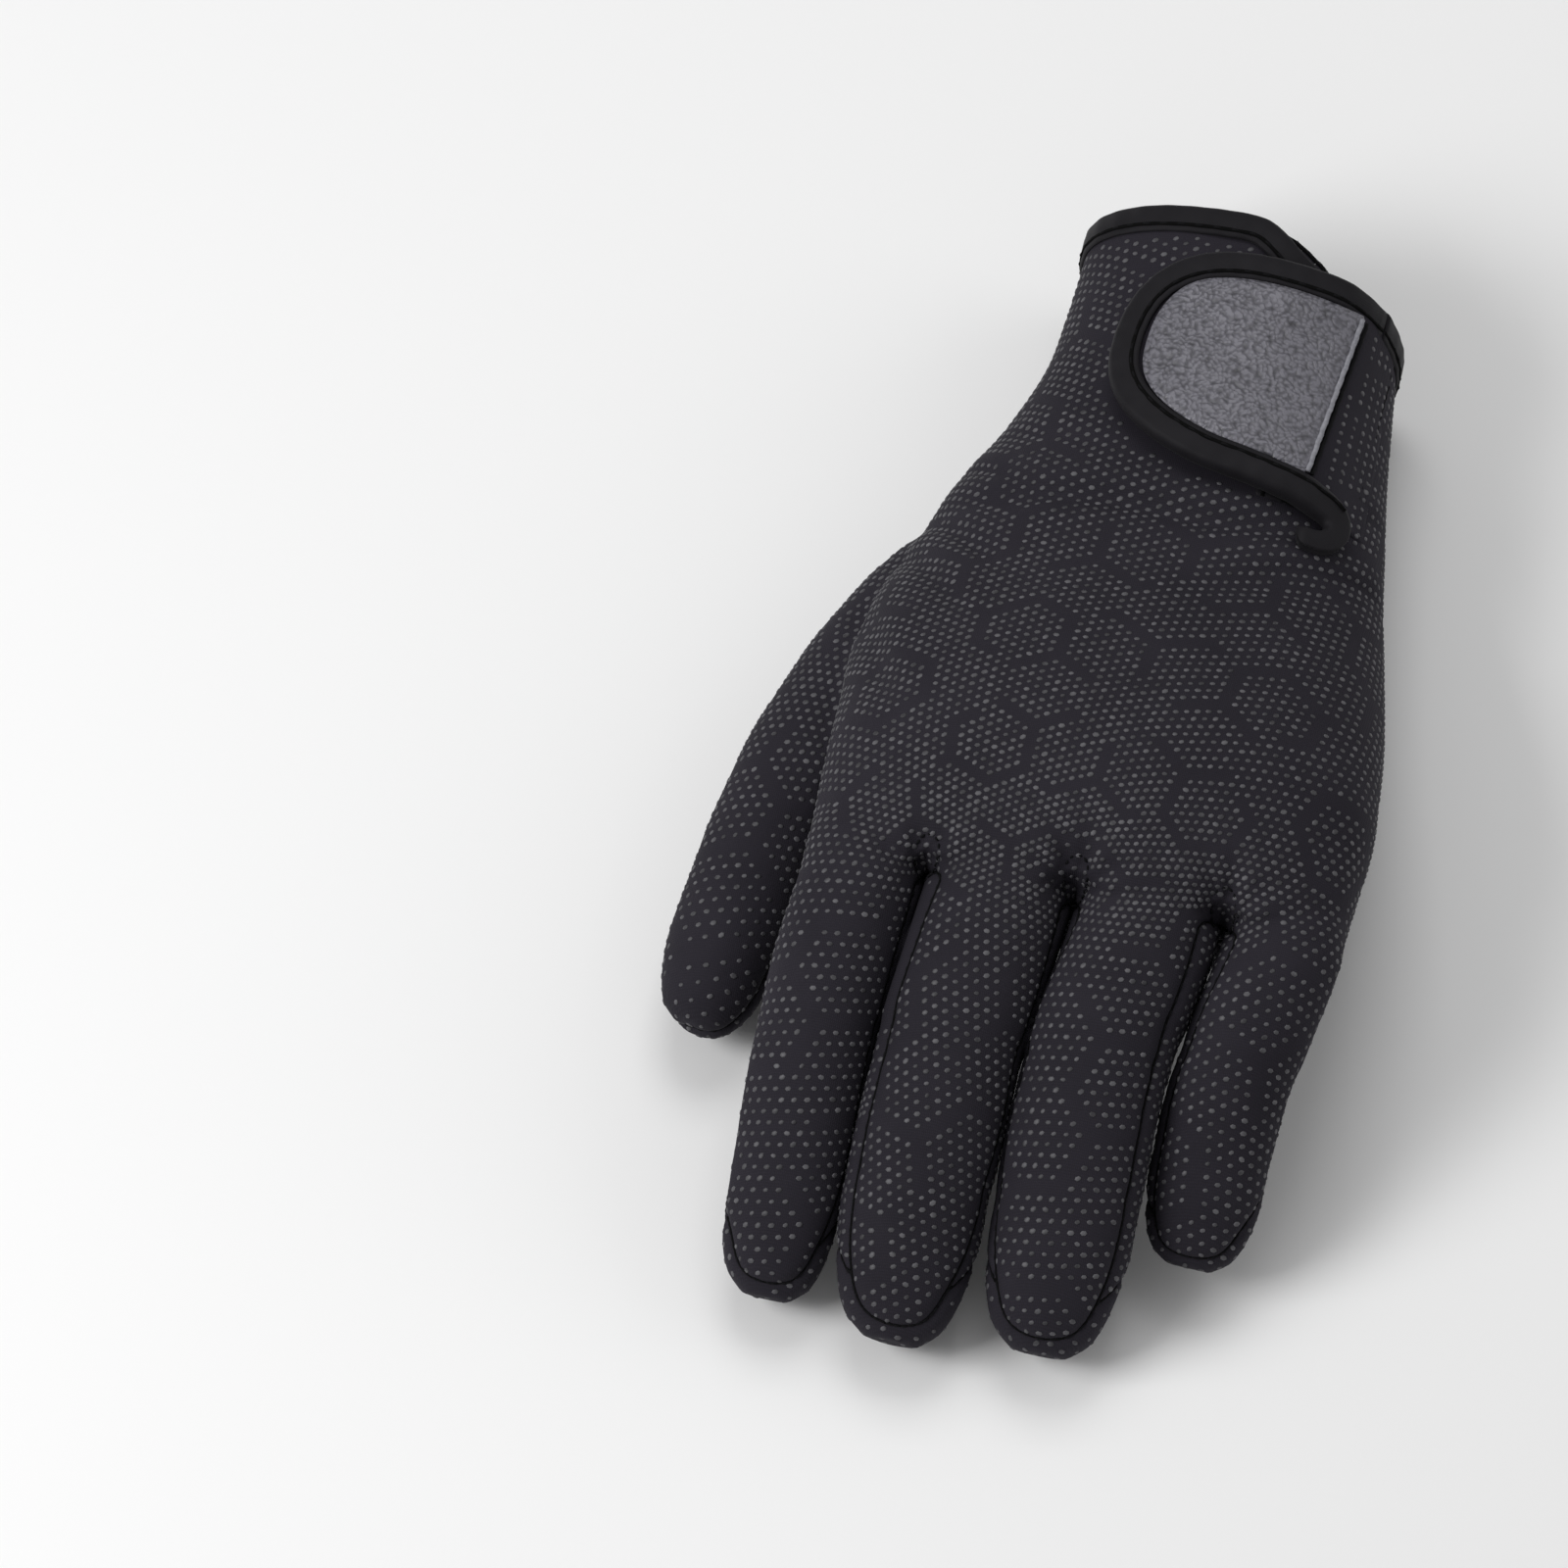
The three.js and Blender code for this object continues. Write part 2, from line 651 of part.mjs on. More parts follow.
// One row of the upper or the lower seam surface across the glove, as places across and heights.
function seamRow(y, level) {
  const along = y / palm_length;
  const hand_left = handSection(Math.max(y, 0)).centre - handSection(Math.max(y, 0)).half;
  const hand_right = handSection(Math.max(y, 0)).centre + handSection(Math.max(y, 0)).half;
  const seam_left = column(PALM, 'seam_thumb', 'along', along) * arch_height;
  const seam_right = column(PALM, 'seam_little', 'along', along) * arch_height;
  const in_hand = smooth(0, crotch_round + 2, y);
  const row = [];
  const share = clamp(y / thumb_reach, THUMB[THUMB.length - 1].along, THUMB[0].along);
  const thumb_rows = [...THUMB].reverse();
  const thumb_x = column(thumb_rows, 'across', 'along', share) * thumb_reach;
  const thumb_z = column(thumb_rows, 'height', 'along', share) * thumb_height;
  const thumb_part = 1 - smooth(0.3, 0.62, along);
  const half = thumb_width / 2;
  const index = FINGERS[0];
  const index_left = fingerAxis(index, 0).x - (index.width * finger_width) / 2 - 0.6;
  const outer_x = Math.min(thumb_x - half, hand_left - 8);
  const web_x = Math.min(hand_left, index_left) - 0.8;
  const outer_z = thumb_z - 0.4 * half;
  const web_z = thumb_z + 0.3 * half;
  row.push([-hand_breadth, outer_z * thumb_part + seam_left * (1 - thumb_part)]);
  row.push([outer_x, outer_z * thumb_part + seam_left * (1 - thumb_part)]);
  row.push([web_x, web_z * thumb_part + seam_left * (1 - thumb_part)]);
  FINGERS.forEach((finger, i) => {
    const t = -y / (finger.length * finger_length);
    const axis = fingerAxis(finger, clamp(t, -0.2, 1));
    const tall = (finger.depth * finger_depth) / 2;
    const spread = 1 - smooth(0.66, 0.92, t);
    const tip = 0.55;
    const side = finger.width * finger_width * 0.5;
    const before = FINGERS[i - 1];
    const after = FINGERS[i + 1];
    const gap = 0.35;
    const left_x = before ? gapMiddle(before, finger, y) + gap : axis.x - side - 0.4;
    const right_x = after ? gapMiddle(finger, after, y) - gap : Math.max(axis.x + side, hand_right) + 0.8;
    const left_h = level > 0 ? finger.seams.left_up : finger.seams.left_low;
    const right_h = level > 0 ? finger.seams.right_up : finger.seams.right_low;
    const left_z = axis.z + tall * (tip + (left_h - tip) * spread);
    const right_z = axis.z + tall * (tip + (right_h - tip) * spread);
    const place = (x) => seam_left + (seam_right - seam_left) * clamp((x - hand_left) / (hand_right - hand_left), 0, 1);
    row.push([left_x, left_z + (place(left_x) - left_z) * in_hand]);
    row.push([right_x, right_z + (place(right_x) - right_z) * in_hand]);
  });
  row.push([hand_breadth, row[row.length - 1][1]]);
  return row;
}

function gapMiddle(left, right, y) {
  const a = fingerAxis(left, clamp(-y / (left.length * finger_length), 0, 1)).x + left.width * finger_width * 0.5;
  const b = fingerAxis(right, clamp(-y / (right.length * finger_length), 0, 1)).x - right.width * finger_width * 0.5;
  return (a + b) / 2;
}

function seamRows() {
  const rows = [];
  for (const share of [1.25, 0.96, 0.88, 0.78, 0.66, 0.56, 0.4, 0.1, 0]) {
    rows.push(-share * finger_length);
  }
  for (const share of [0.055, 0.14, 0.26, 0.36, 0.47, 0.6, 0.8, 1.15]) {
    rows.push(share * palm_length);
  }
  return rows;
}

// Everything above the upper seam surface, or below the lower one, or between the two.
function seamSolid(below, above) {
  const lower = [];
  const upper = [];
  for (const y of seamRows()) {
    lower.push(below(y).map(([x, z]) => new THREE.Vector3(x, y, z)));
    upper.push(above(y).map(([x, z]) => new THREE.Vector3(x, y, z)));
  }
  return slab(lower, upper);
}

function raised(level, by) {
  return (y) => seamRow(y, level).map(([x, z]) => [x, z + by]);
}

function flat(level, height) {
  return (y) => seamRow(y, level).map(([x]) => [x, height]);
}

function gapPrism(i) {
  const left = FINGERS[i];
  const right = FINGERS[i + 1];
  const far = -1.3 * finger_length;
  const near = crotch_round * 2.5;
  const points = [
    new THREE.Vector2(fingerAxis(left, 1).x, far),
    new THREE.Vector2(fingerAxis(right, 1).x, far),
    new THREE.Vector2(fingerAxis(right, 0).x, near),
    new THREE.Vector2(fingerAxis(left, 0).x, near),
  ];
  return prism(points, -arch_height, 2 * arch_height);
}

// The thumb's own piece is its underside and its web side, cut across the thumb's ball.
function thumbRegion(grow) {
  const half = (FINGERS[0].width * finger_width) / 2;
  const beyond = -0.25 * thumb_reach;
  const web = fingerAxis(FINGERS[0], 0).x - half + 0.2;
  const web_end = fingerAxis(FINGERS[0], -beyond / finger_length).x - half - clearance;
  const points = [
    new THREE.Vector2(-hand_breadth, 0.5 * thumb_reach + grow),
    new THREE.Vector2(-0.64 * thumb_reach, 0.46 * thumb_reach + grow),
    new THREE.Vector2(-0.44 * thumb_reach + grow, 0.37 * thumb_reach + grow),
    new THREE.Vector2(web + grow, 0.2 * thumb_reach),
    new THREE.Vector2(web_end, beyond),
    new THREE.Vector2(-hand_breadth, beyond),
  ];
  return prism([...points].reverse(), -arch_height, arch_height);
}

// Assembly

const outer = handForm(0, palm_length * 1.04);
const inner = handForm(-wall, palm_length * 1.055);
const shell = outer.subtract(inner).intersect(cuffRegion(0));
const tab = tabSheet(0);
const cloth = shell.subtract(slitRegion(0)).add(tab);

const above = seamSolid(raised(1, seam_gap), flat(1, 2 * arch_height));
const below = seamSolid(flat(-1, -arch_height), raised(-1, -seam_gap));
const between = seamSolid(flat(1, -arch_height), raised(1, -seam_gap))
  .intersect(seamSolid(raised(-1, seam_gap), flat(-1, 2 * arch_height)));

const under = cloth.intersect(below);
const under_binding = slit_root - 2 * binding_width;
const grownWrist = handTube(clearance, under_binding, palm_length * 1.04)
  .subtract(handTube(-wall - clearance, under_binding - wall, palm_length * 1.055))
  .intersect(cuffRegion(clearance))
  .subtract(slitRegion(clearance));
const grownTab = tabSheet(clearance);

const pieces = {
  back_panel: cloth.intersect(above),
  palm_panel: under.subtract(thumbRegion(seam_gap)),
  thumb_panel: under.intersect(thumbRegion(-seam_gap)),
  cuff_binding: edgeBar(cuffEdgeStops()).subtract(grownWrist).subtract(grownTab),
  tab_binding: edgeBar(tabEdgeStops()).subtract(grownTab).subtract(grownWrist),
  tab_patch: patchSheet(),
  hook_pad: padSheet(),
};
const gaps = ['index_middle', 'middle_ring', 'ring_little'];
gaps.forEach((gap, i) => {
  pieces[`fourchette_${gap}`] = cloth.intersect(between).intersect(gapPrism(i));
});

const fabric = { color: 0x28262c, roughness: 0.92, metalness: 0 };
const tapeLook = { color: 0x1b1a1d, roughness: 0.75, metalness: 0 };
const leather = { color: 0x5f5f67, roughness: 0.55, metalness: 0 };
const hook = { color: 0x151518, roughness: 0.95, metalness: 0 };
const looks = {
  back_panel: fabric,
  palm_panel: fabric,
  thumb_panel: fabric,
  cuff_binding: tapeLook,
  tab_binding: tapeLook,
  tab_patch: leather,
  hook_pad: hook,
};

const glove = new THREE.Group();
const box = new THREE.Box3();
for (const [name, piece] of Object.entries(pieces)) {
  const mesh = new THREE.Mesh(geometryOf(piece), new THREE.MeshStandardMaterial(looks[name] || fabric));
  mesh.name = name;
  glove.add(mesh);
  box.expandByObject(mesh);
}
const middle = box.getCenter(new THREE.Vector3());
glove.position.set(-middle.x, -middle.y, -box.min.z);
glove.updateMatrixWorld(true);

export default glove;
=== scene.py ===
"""A thin neoprene diving glove for a left hand, lying palm down with its back showing.

The cloth is rebuilt finely from the same tables as the solids: tubes are joined and smoothed, creased,
cut into panels along the seams and given their thickness. Dots, stitches, tape and patch lie on it.
Lengths are in millimetres until a mesh is made, measured from the crotch of middle and ring finger.
"""

import math

import bpy
import numpy as np
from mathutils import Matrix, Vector


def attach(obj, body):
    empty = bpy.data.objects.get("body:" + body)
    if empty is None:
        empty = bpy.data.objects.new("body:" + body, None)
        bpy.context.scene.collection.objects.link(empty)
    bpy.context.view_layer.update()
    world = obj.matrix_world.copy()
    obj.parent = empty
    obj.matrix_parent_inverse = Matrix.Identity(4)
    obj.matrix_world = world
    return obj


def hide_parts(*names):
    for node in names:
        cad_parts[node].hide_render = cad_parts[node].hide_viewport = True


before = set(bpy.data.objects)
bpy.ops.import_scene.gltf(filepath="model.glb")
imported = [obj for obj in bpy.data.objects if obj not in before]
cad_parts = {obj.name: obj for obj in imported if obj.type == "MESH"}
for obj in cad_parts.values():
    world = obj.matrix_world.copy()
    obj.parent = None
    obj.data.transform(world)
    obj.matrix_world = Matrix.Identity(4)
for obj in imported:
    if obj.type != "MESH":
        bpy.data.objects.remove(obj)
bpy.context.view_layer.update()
rng = np.random.default_rng(7)
MM = 0.001

# Driving dimensions, as in the solids
PALM_LENGTH = 152.3
HAND_BREADTH = 101.0
ARCH_HEIGHT = 60.0
CUFF_STEP = 11.4
WALL = 1.8
CLEARANCE = 0.3
FLOOR_PRESS = 2.4
FINGER_LENGTH = 76.0
FINGER_WIDTH = 26.0
FINGER_DEPTH = 23.0
FINGER_DROP = 34.0
ROOT_HEIGHT = 42.5
CROTCH_ROUND = 6.0
THUMB_REACH = 108.0
THUMB_WIDTH = 24.0
THUMB_HEIGHT = 23.0
TAB_NOSE = -16.1
TAB_WIDTH = 49.2
TAB_RISE = 0.6
TAB_GAP = 3.0
TAB_ROOT = 4.0
SLIT_LEFT = 19.0
SLIT_RIGHT = 31.0
SLIT_DEPTH = 3.1
PATCH_THICKNESS = 1.0
PATCH_EDGE = 25.2
PATCH_EDGE_LEAN = 4.4
PAD_LENGTH = 19.0
PAD_WIDTH = 18.0
PAD_INSET = 5.0
BINDING_WIDTH = 6.0
TAPE = 0.8
CURL_RADIUS = 3.4
TURN_ROUND = 6.5
BINDING_MEET = SLIT_RIGHT - 2
SUPERNESS = 2.35

TAB_TOP = PALM_LENGTH - CUFF_STEP + CLEARANCE
TAB_BOTTOM = TAB_TOP - TAB_WIDTH
TAB_MIDDLE = (TAB_TOP + TAB_BOTTOM) / 2
SLIT_ROOT = TAB_BOTTOM - SLIT_DEPTH
PATCH_INSET = BINDING_WIDTH - TAPE
PATCH_BASE = TAB_GAP + WALL + CLEARANCE
TAPE_THICK = WALL + 2 * CLEARANCE + 2 * TAPE
RESTING = WALL / 2 + TAPE + 2 * CLEARANCE

# Fineness of the cloth and of the tubes that it is joined from
CELL = 0.98
TUBE_SIDES = 96
ROUTE_STEPS = 90

# The fingers are spread while they are joined, then drawn together and bowed
FINGER_SPREAD = 2.0
SPREAD_FROM = 9.0
SPREAD_TO = 0.0
FINGER_GROWTH = 0.5
FINGER_CLOSING = (1.5, 0.3, 1.7)
FINGER_BOW = 1.2
CROTCH_RISE = 4.0

# Seams: the depth of the groove, and the half widths and half heights of the dark lines of painted shade in
# it
GROOVE_DEPTH = 0.7
SEAM_LINE = (0.46, 0.18)
TAPE_LINE = (0.4, 0.17)
CROTCH_RING = (2.3, 2.7)
CROTCH_RING_Y = 4.2

# The crotch of middle and ring finger in the shared frame
CROTCH = np.array([13.30, -38.53, 0.0])


def rows(names, *values):
    """A short table: a dictionary for each row, with named columns."""
    return [dict(zip(names.split(), row)) for row in values]


PALM = rows(
    "along left right top bottom seam_thumb seam_little",
    (-0.035, -0.47, 0.45, 0.77, 0.5, 0.64, 0.62),
    (0.0, -0.495, 0.468, 0.86, 0.4, 0.63, 0.58),
    (0.04, -0.505, 0.475, 0.93, 0.34, 0.6, 0.54),
    (0.12, -0.512, 0.481, 0.985, 0.27, 0.55, 0.47),
    (0.22, -0.515, 0.485, 1.0, 0.19, 0.47, 0.38),
    (0.36, -0.52, 0.457, 0.91, 0.05, 0.33, 0.26),
    (0.49, -0.485, 0.421, 0.8, -0.02, 0.24, 0.19),
    (0.6, -0.425, 0.391, 0.765, -0.035, 0.2, 0.16),
    (0.71, -0.35, 0.362, 0.74, -0.04, 0.18, 0.15),
    (0.82, -0.297, 0.335, 0.717, -0.03, 0.17, 0.15),
    (0.92, -0.281, 0.322, 0.703, -0.01, 0.17, 0.15),
    (1.06, -0.275, 0.322, 0.7, 0.02, 0.17, 0.15),
)
FINGERS = rows(
    "name root tip length width depth drop left_up left_low right_up right_low",
    ("index", -0.399, -0.43, 0.93, 0.846, 0.93, 1.0, -0.3, -0.3, 0.3, -0.55),
    ("middle", -0.1485, -0.18, 1.0, 1.027, 1.0, 1.0, 0.62, -0.6, 0.3, -0.55),
    ("ring", 0.1238, 0.093, 0.955, 1.019, 0.98, 1.0, 0.3, -0.55, 0.62, -0.6),
    ("little", 0.3713, 0.349, 0.665, 0.831, 0.84, 0.9, 0.62, -0.6, -0.12, -0.12),
)
PAIRS = list(zip(FINGERS[:-1], FINGERS[1:]))
FINGER_RUN = rows(
    "along drop width depth",
    (-0.26, 0.1, 0.86, 0.82),
    (-0.1, 0.02, 0.96, 0.95),
    (0.08, 0.05, 1.0, 1.0),
    (0.4, 0.32, 0.99, 0.99),
    (0.72, 0.7, 0.96, 0.92),
    (0.85, 0.86, 0.86, 0.82),
    (0.94, 0.96, 0.66, 0.64),
    (0.985, 1.0, 0.36, 0.36),
)
THUMB = rows(
    "across along height width depth",
    (-0.2, 0.86, 0.87, 0.9, 0.85),
    (-0.34, 0.7, 0.85, 1.15, 1.1),
    (-0.435, 0.54, 0.83, 1.14, 1.08),
    (-0.515, 0.36, 0.78, 1.04, 1.0),
    (-0.565, 0.2, 0.72, 0.96, 0.95),
    (-0.592, 0.04, 0.65, 0.92, 0.9),
    (-0.61, -0.08, 0.57, 0.82, 0.8),
    (-0.623, -0.15, 0.52, 0.6, 0.6),
    (-0.63, -0.178, 0.5, 0.3, 0.3),
)

# Creases of the back of the hand: place, spread, depth in mm, and the way that each runs in degrees.
CREASES = rows(
    "x y reach spread depth turn",
    (-4.0, 86.0, 34.0, 2.4, 1.1, 2.0),
    (30.0, 81.0, 13.0, 1.9, 0.9, 24.0),
    (24.0, 75.0, 16.0, 2.2, 0.6, 22.0),
    (-37.0, 76.0, 11.0, 2.0, 0.8, -38.0),
    (-41.0, 66.0, 12.0, 2.0, 0.7, -48.0),
    (-30.0, 90.0, 10.0, 1.7, 0.7, -20.0),
    (-48.0, 48.0, 16.0, 3.0, 0.9, -66.0),
    (-24.0, 100.0, 9.0, 1.6, 0.45, -8.0),
    (33.0, 98.0, 9.0, 1.8, 0.4, 30.0),
)


def smooth(low, high, value):
    """0 below low, 1 above high, and a soft step between."""
    t = np.clip((np.asarray(value, float) - low) / (high - low), 0, 1)
    return t * t * (3 - 2 * t)


def column(table, key, by, value):
    """A smooth curve through one column of a table, read at any values of another column."""
    x = np.array([row[by] for row in table])
    y = np.array([row[key] for row in table])
    value = np.asarray(value, float)
    i = np.clip(np.searchsorted(x, value) - 1, 0, len(x) - 2)
    before = np.maximum(i - 1, 0)
    after = np.minimum(i + 2, len(x) - 1)
    span = x[i + 1] - x[i]
    t = np.clip((value - x[i]) / span, 0, 1)
    m1 = (y[i + 1] - y[before]) / (x[i + 1] - x[before]) * span
    m2 = (y[after] - y[i]) / (x[after] - x[i]) * span
    first = (2 * t**3 - 3 * t**2 + 1) * y[i] + (t**3 - 2 * t**2 + t) * m1
    return first + (3 * t**2 - 2 * t**3) * y[i + 1] + (t**3 - t**2) * m2


def unit(ways):
    """Vectors made one long."""
    return ways / np.maximum(np.linalg.norm(ways, axis=-1, keepdims=True), 1e-9)


def run_along(points):
    """How far along a path each of its points lies."""
    return np.concatenate([[0], np.cumsum(np.linalg.norm(np.diff(points, axis=0), axis=1))])


def read_along(run, values, places):
    """The values of a path, read at places along it."""
    return np.stack([np.interp(places, run, values[:, k]) for k in range(values.shape[1])], 1)


def oval(wide, high, count):
    turn = np.linspace(0, 2 * math.pi, count, endpoint=False)
    return np.stack([wide * np.cos(turn), high * np.sin(turn)], 1)


def rings_along(at, side, up, section, wide=1.0, high=1.0):
    """A section set up at each point of a path, with a width and a height of its own there."""
    wide, high = (np.broadcast_to(size, len(at))[:, None, None] for size in (wide, high))
    across = side[:, None] * (section[:, :1] * wide)
    return at[:, None] + across + up[:, None] * (section[:, 1:] * high)


# The hand's surface

def hand_section(y):
    """Centre, half width, mid height and half height of the hand's tube at a place along it."""
    along = np.asarray(y, float) / PALM_LENGTH
    sides = [column(PALM, key, "along", along) for key in ("left", "right", "top", "bottom")]
    left, right, top, bottom = sides
    left, right, top = left * HAND_BREADTH, right * HAND_BREADTH, top * ARCH_HEIGHT
    press = FLOOR_PRESS * smooth(0.42, 0.5, along) * (1 - smooth(0.9, 0.97, along))
    bottom = bottom * ARCH_HEIGHT - press
    return (left + right) / 2, (right - left) / 2, (top + bottom) / 2, (top - bottom) / 2


def rest_height(y):
    """The bound edge lifts the cloth by the tape under it."""
    return (TAPE + CLEARANCE) * smooth(TAB_TOP - 20.0, TAB_TOP - 8.0, y)


def power(value):
    return np.sign(value) * np.abs(value) ** (2 / SUPERNESS)


def hand_point(angle, y, offset):
    """A point of the hand's tube at an angle round it, offset outwards."""
    angle, y, offset = np.broadcast_arrays(np.asarray(angle, float), y, offset)
    centre, half, middle, tall = hand_section(y)
    x = centre + (half + offset) * power(np.cos(angle))
    z = middle + (tall + offset) * power(np.sin(angle))
    z = np.maximum(z, rest_height(y) - offset)
    return np.stack([x, y + 0 * x, z], -1)


def angle_at(x, y, offset=0.0):
    """The angle at which the upper side, offset outwards, stands over a place across the hand."""
    centre, half, _, _ = hand_section(y)
    share = np.clip((x - centre) / (half + offset), -0.999, 0.999)
    return np.arccos(np.sign(share) * np.abs(share) ** (SUPERNESS / 2))


def hand_normal(angle, y, offset=0.0):
    """The way out of the hand's surface, square to the run round it."""
    run = hand_point(angle + 0.05, y, offset) - hand_point(angle - 0.05, y, offset)
    return unit(np.stack([run[..., 2], 0 * run[..., 1], -run[..., 0]], -1))


def on_hand(angle, y, offset):
    """Points of the hand's surface side by side with the ways out of it."""
    return np.concatenate([hand_point(angle, y, offset), hand_normal(angle, y, offset)], 1)


def finger_axis(finger, along):
    """The middle line of a finger, from its root (0) to its tip (1)."""
    along = np.asarray(along, float)
    x = HAND_BREADTH * (finger["root"] + (finger["tip"] - finger["root"]) * np.maximum(along, 0))
    sink = (FINGER_DEPTH - finger["depth"] * FINGER_DEPTH) / 2
    fall = FINGER_DROP * finger["drop"] * column(FINGER_RUN, "drop", "along", along)
    return np.stack([x, -along * finger["length"] * FINGER_LENGTH, ROOT_HEIGHT - sink - fall], -1)


def gap_middle(left, right, y):
    """The middle of the gap between two fingers."""
    sides = []
    for finger, way in ((left, 0.5), (right, -0.5)):
        along = np.clip(-y / (finger["length"] * FINGER_LENGTH), 0, 1)
        sides.append(finger_axis(finger, along)[..., 0] + way * finger["width"] * FINGER_WIDTH)
    return (sides[0] + sides[1]) / 2


def crotch_places():
    """Where each two fingers part, across the hand."""
    return [float(gap_middle(left, right, 0.0)) for left, right in PAIRS]


def loft(rows_of_points):
    """Vertices and faces of a closed tube through rings of points."""
    count, sides = rows_of_points.shape[:2]
    r, s = np.meshgrid(np.arange(count - 1), np.arange(sides), indexing="ij")
    a = (r * sides + s).ravel()
    b = (r * sides + (s + 1) % sides).ravel()
    quads = np.stack([a, b, b + sides, a + sides], 1).tolist()
    ends = [list(range(sides))[::-1], [(count - 1) * sides + i for i in range(sides)]]
    return rows_of_points.reshape(-1, 3), quads + ends


def limb(at, half, tall):
    """A tube along a route, flattened on the floor."""
    ahead = unit(np.gradient(at, axis=0))
    side = unit(np.cross(ahead, [0, 0, 1]))
    ring = rings_along(at, side, np.cross(side, ahead), oval(1, 1, TUBE_SIDES // 2), half, tall)
    ring[..., 2] = np.maximum(ring[..., 2], 0)
    return loft(ring)


def spread(made, index):
    """A tube moved aside with the finger that it belongs to."""
    points, faces = made
    points[:, 0] += spread_of(index) * smooth(SPREAD_FROM, SPREAD_TO, points[:, 1])
    return points, faces


def finger_limb(index, finger):
    along = np.linspace(FINGER_RUN[0]["along"], FINGER_RUN[-1]["along"], ROUTE_STEPS)
    width, depth = (column(FINGER_RUN, key, "along", along) for key in ("width", "depth"))
    half = (finger["width"] * FINGER_WIDTH / 2 + FINGER_GROWTH) * width
    tall = finger["depth"] * FINGER_DEPTH / 2 * depth
    return spread(limb(finger_axis(finger, along), half, tall), index)


def thumb_limb():
    step = np.linspace(0, len(THUMB) - 1, ROUTE_STEPS)
    table = [dict(row, step=i) for i, row in enumerate(THUMB)]
    sizes = (THUMB_REACH, THUMB_REACH, THUMB_HEIGHT, THUMB_WIDTH / 2, THUMB_WIDTH / 2)
    values = [column(table, key, "step", step) * size for key, size in zip(THUMB[0], sizes)]
    return spread(limb(np.stack(values[:3], 1), *values[3:]), 0)


def spread_of(index):
    """The fingers are spread while the tubes are joined, so that the gaps stay open."""
    return (index - 1.5) * FINGER_SPREAD


def hand_tube():
    y = np.arange(1.0, PALM_LENGTH * 1.04, 1.4)
    angle = np.linspace(0, 2 * math.pi, TUBE_SIDES, endpoint=False)
    rings = hand_point(angle[None, :], y[:, None], 0.0)
    share = np.clip((rings[..., 0] / HAND_BREADTH) * 4 * FINGER_SPREAD, spread_of(0), spread_of(3))
    rings[..., 0] += share * smooth(SPREAD_FROM, SPREAD_TO, rings[..., 1])
    return loft(rings)


# Mesh helpers

def mesh_object(name, points, faces):
    """A new object from points in millimetres, placed in the shared frame."""
    mesh = bpy.data.meshes.new(name)
    placed = (np.asarray(points, float) + CROTCH) * MM
    mesh.from_pydata(placed.tolist(), [], faces.tolist() if isinstance(faces, np.ndarray) else faces)
    mesh.update()
    mesh.polygons.foreach_set("use_smooth", np.ones(len(mesh.polygons), bool))
    obj = bpy.data.objects.new(name, mesh)
    bpy.context.scene.collection.objects.link(obj)
    return obj


def mesh_arrays(mesh):
    """Points in millimetres and triangles of a mesh."""
    points = np.empty(len(mesh.vertices) * 3)
    mesh.vertices.foreach_get("co", points)
    mesh.calc_loop_triangles()
    triangles = np.empty(len(mesh.loop_triangles) * 3, np.int64)
    mesh.loop_triangles.foreach_get("vertices", triangles)
    return points.reshape(-1, 3) / MM - CROTCH, triangles.reshape(-1, 3)


def joined(parts):
    """Several lists of points and faces as one."""
    points, faces, start = [], [], 0
    for co, polygons in parts:
        points.append(co)
        faces += [[i + start for i in face] for face in polygons]
        start += len(co)
    return np.concatenate(points), faces


def directed(triangles):
    """The edges of triangles, each in the way that its triangle runs."""
    return np.concatenate([triangles[:, [0, 1]], triangles[:, [1, 2]], triangles[:, [2, 0]]])


def edges_of(triangles):
    return np.unique(np.sort(directed(triangles), 1), axis=0)


def normals_of(points, triangles):
    a, b, c = (points[triangles[:, i]] for i in range(3))
    face = np.cross(b - a, c - a)
    normal = np.zeros_like(points)
    for i in range(3):
        for k in range(3):
            normal[:, k] += np.bincount(triangles[:, i], face[:, k], len(points))
    return unit(normal)


def relax(points, edges, times, weight=None):
    """Moves each point towards its neighbours and part of the way back, so that forms keep their size."""
    count = np.bincount(edges.ravel(), minlength=len(points)).astype(float)[:, None]
    weight = 1.0 if weight is None else weight[:, None]
    for _ in range(times):
        for share in (0.5, -0.52):
            total = np.zeros_like(points)
            for k in range(3):
                total[:, k] += np.bincount(edges[:, 0], points[edges[:, 1], k], len(points))
                total[:, k] += np.bincount(edges[:, 1], points[edges[:, 0], k], len(points))
            points = points + weight * share * (total / count - points)
    return points


# The joined skin

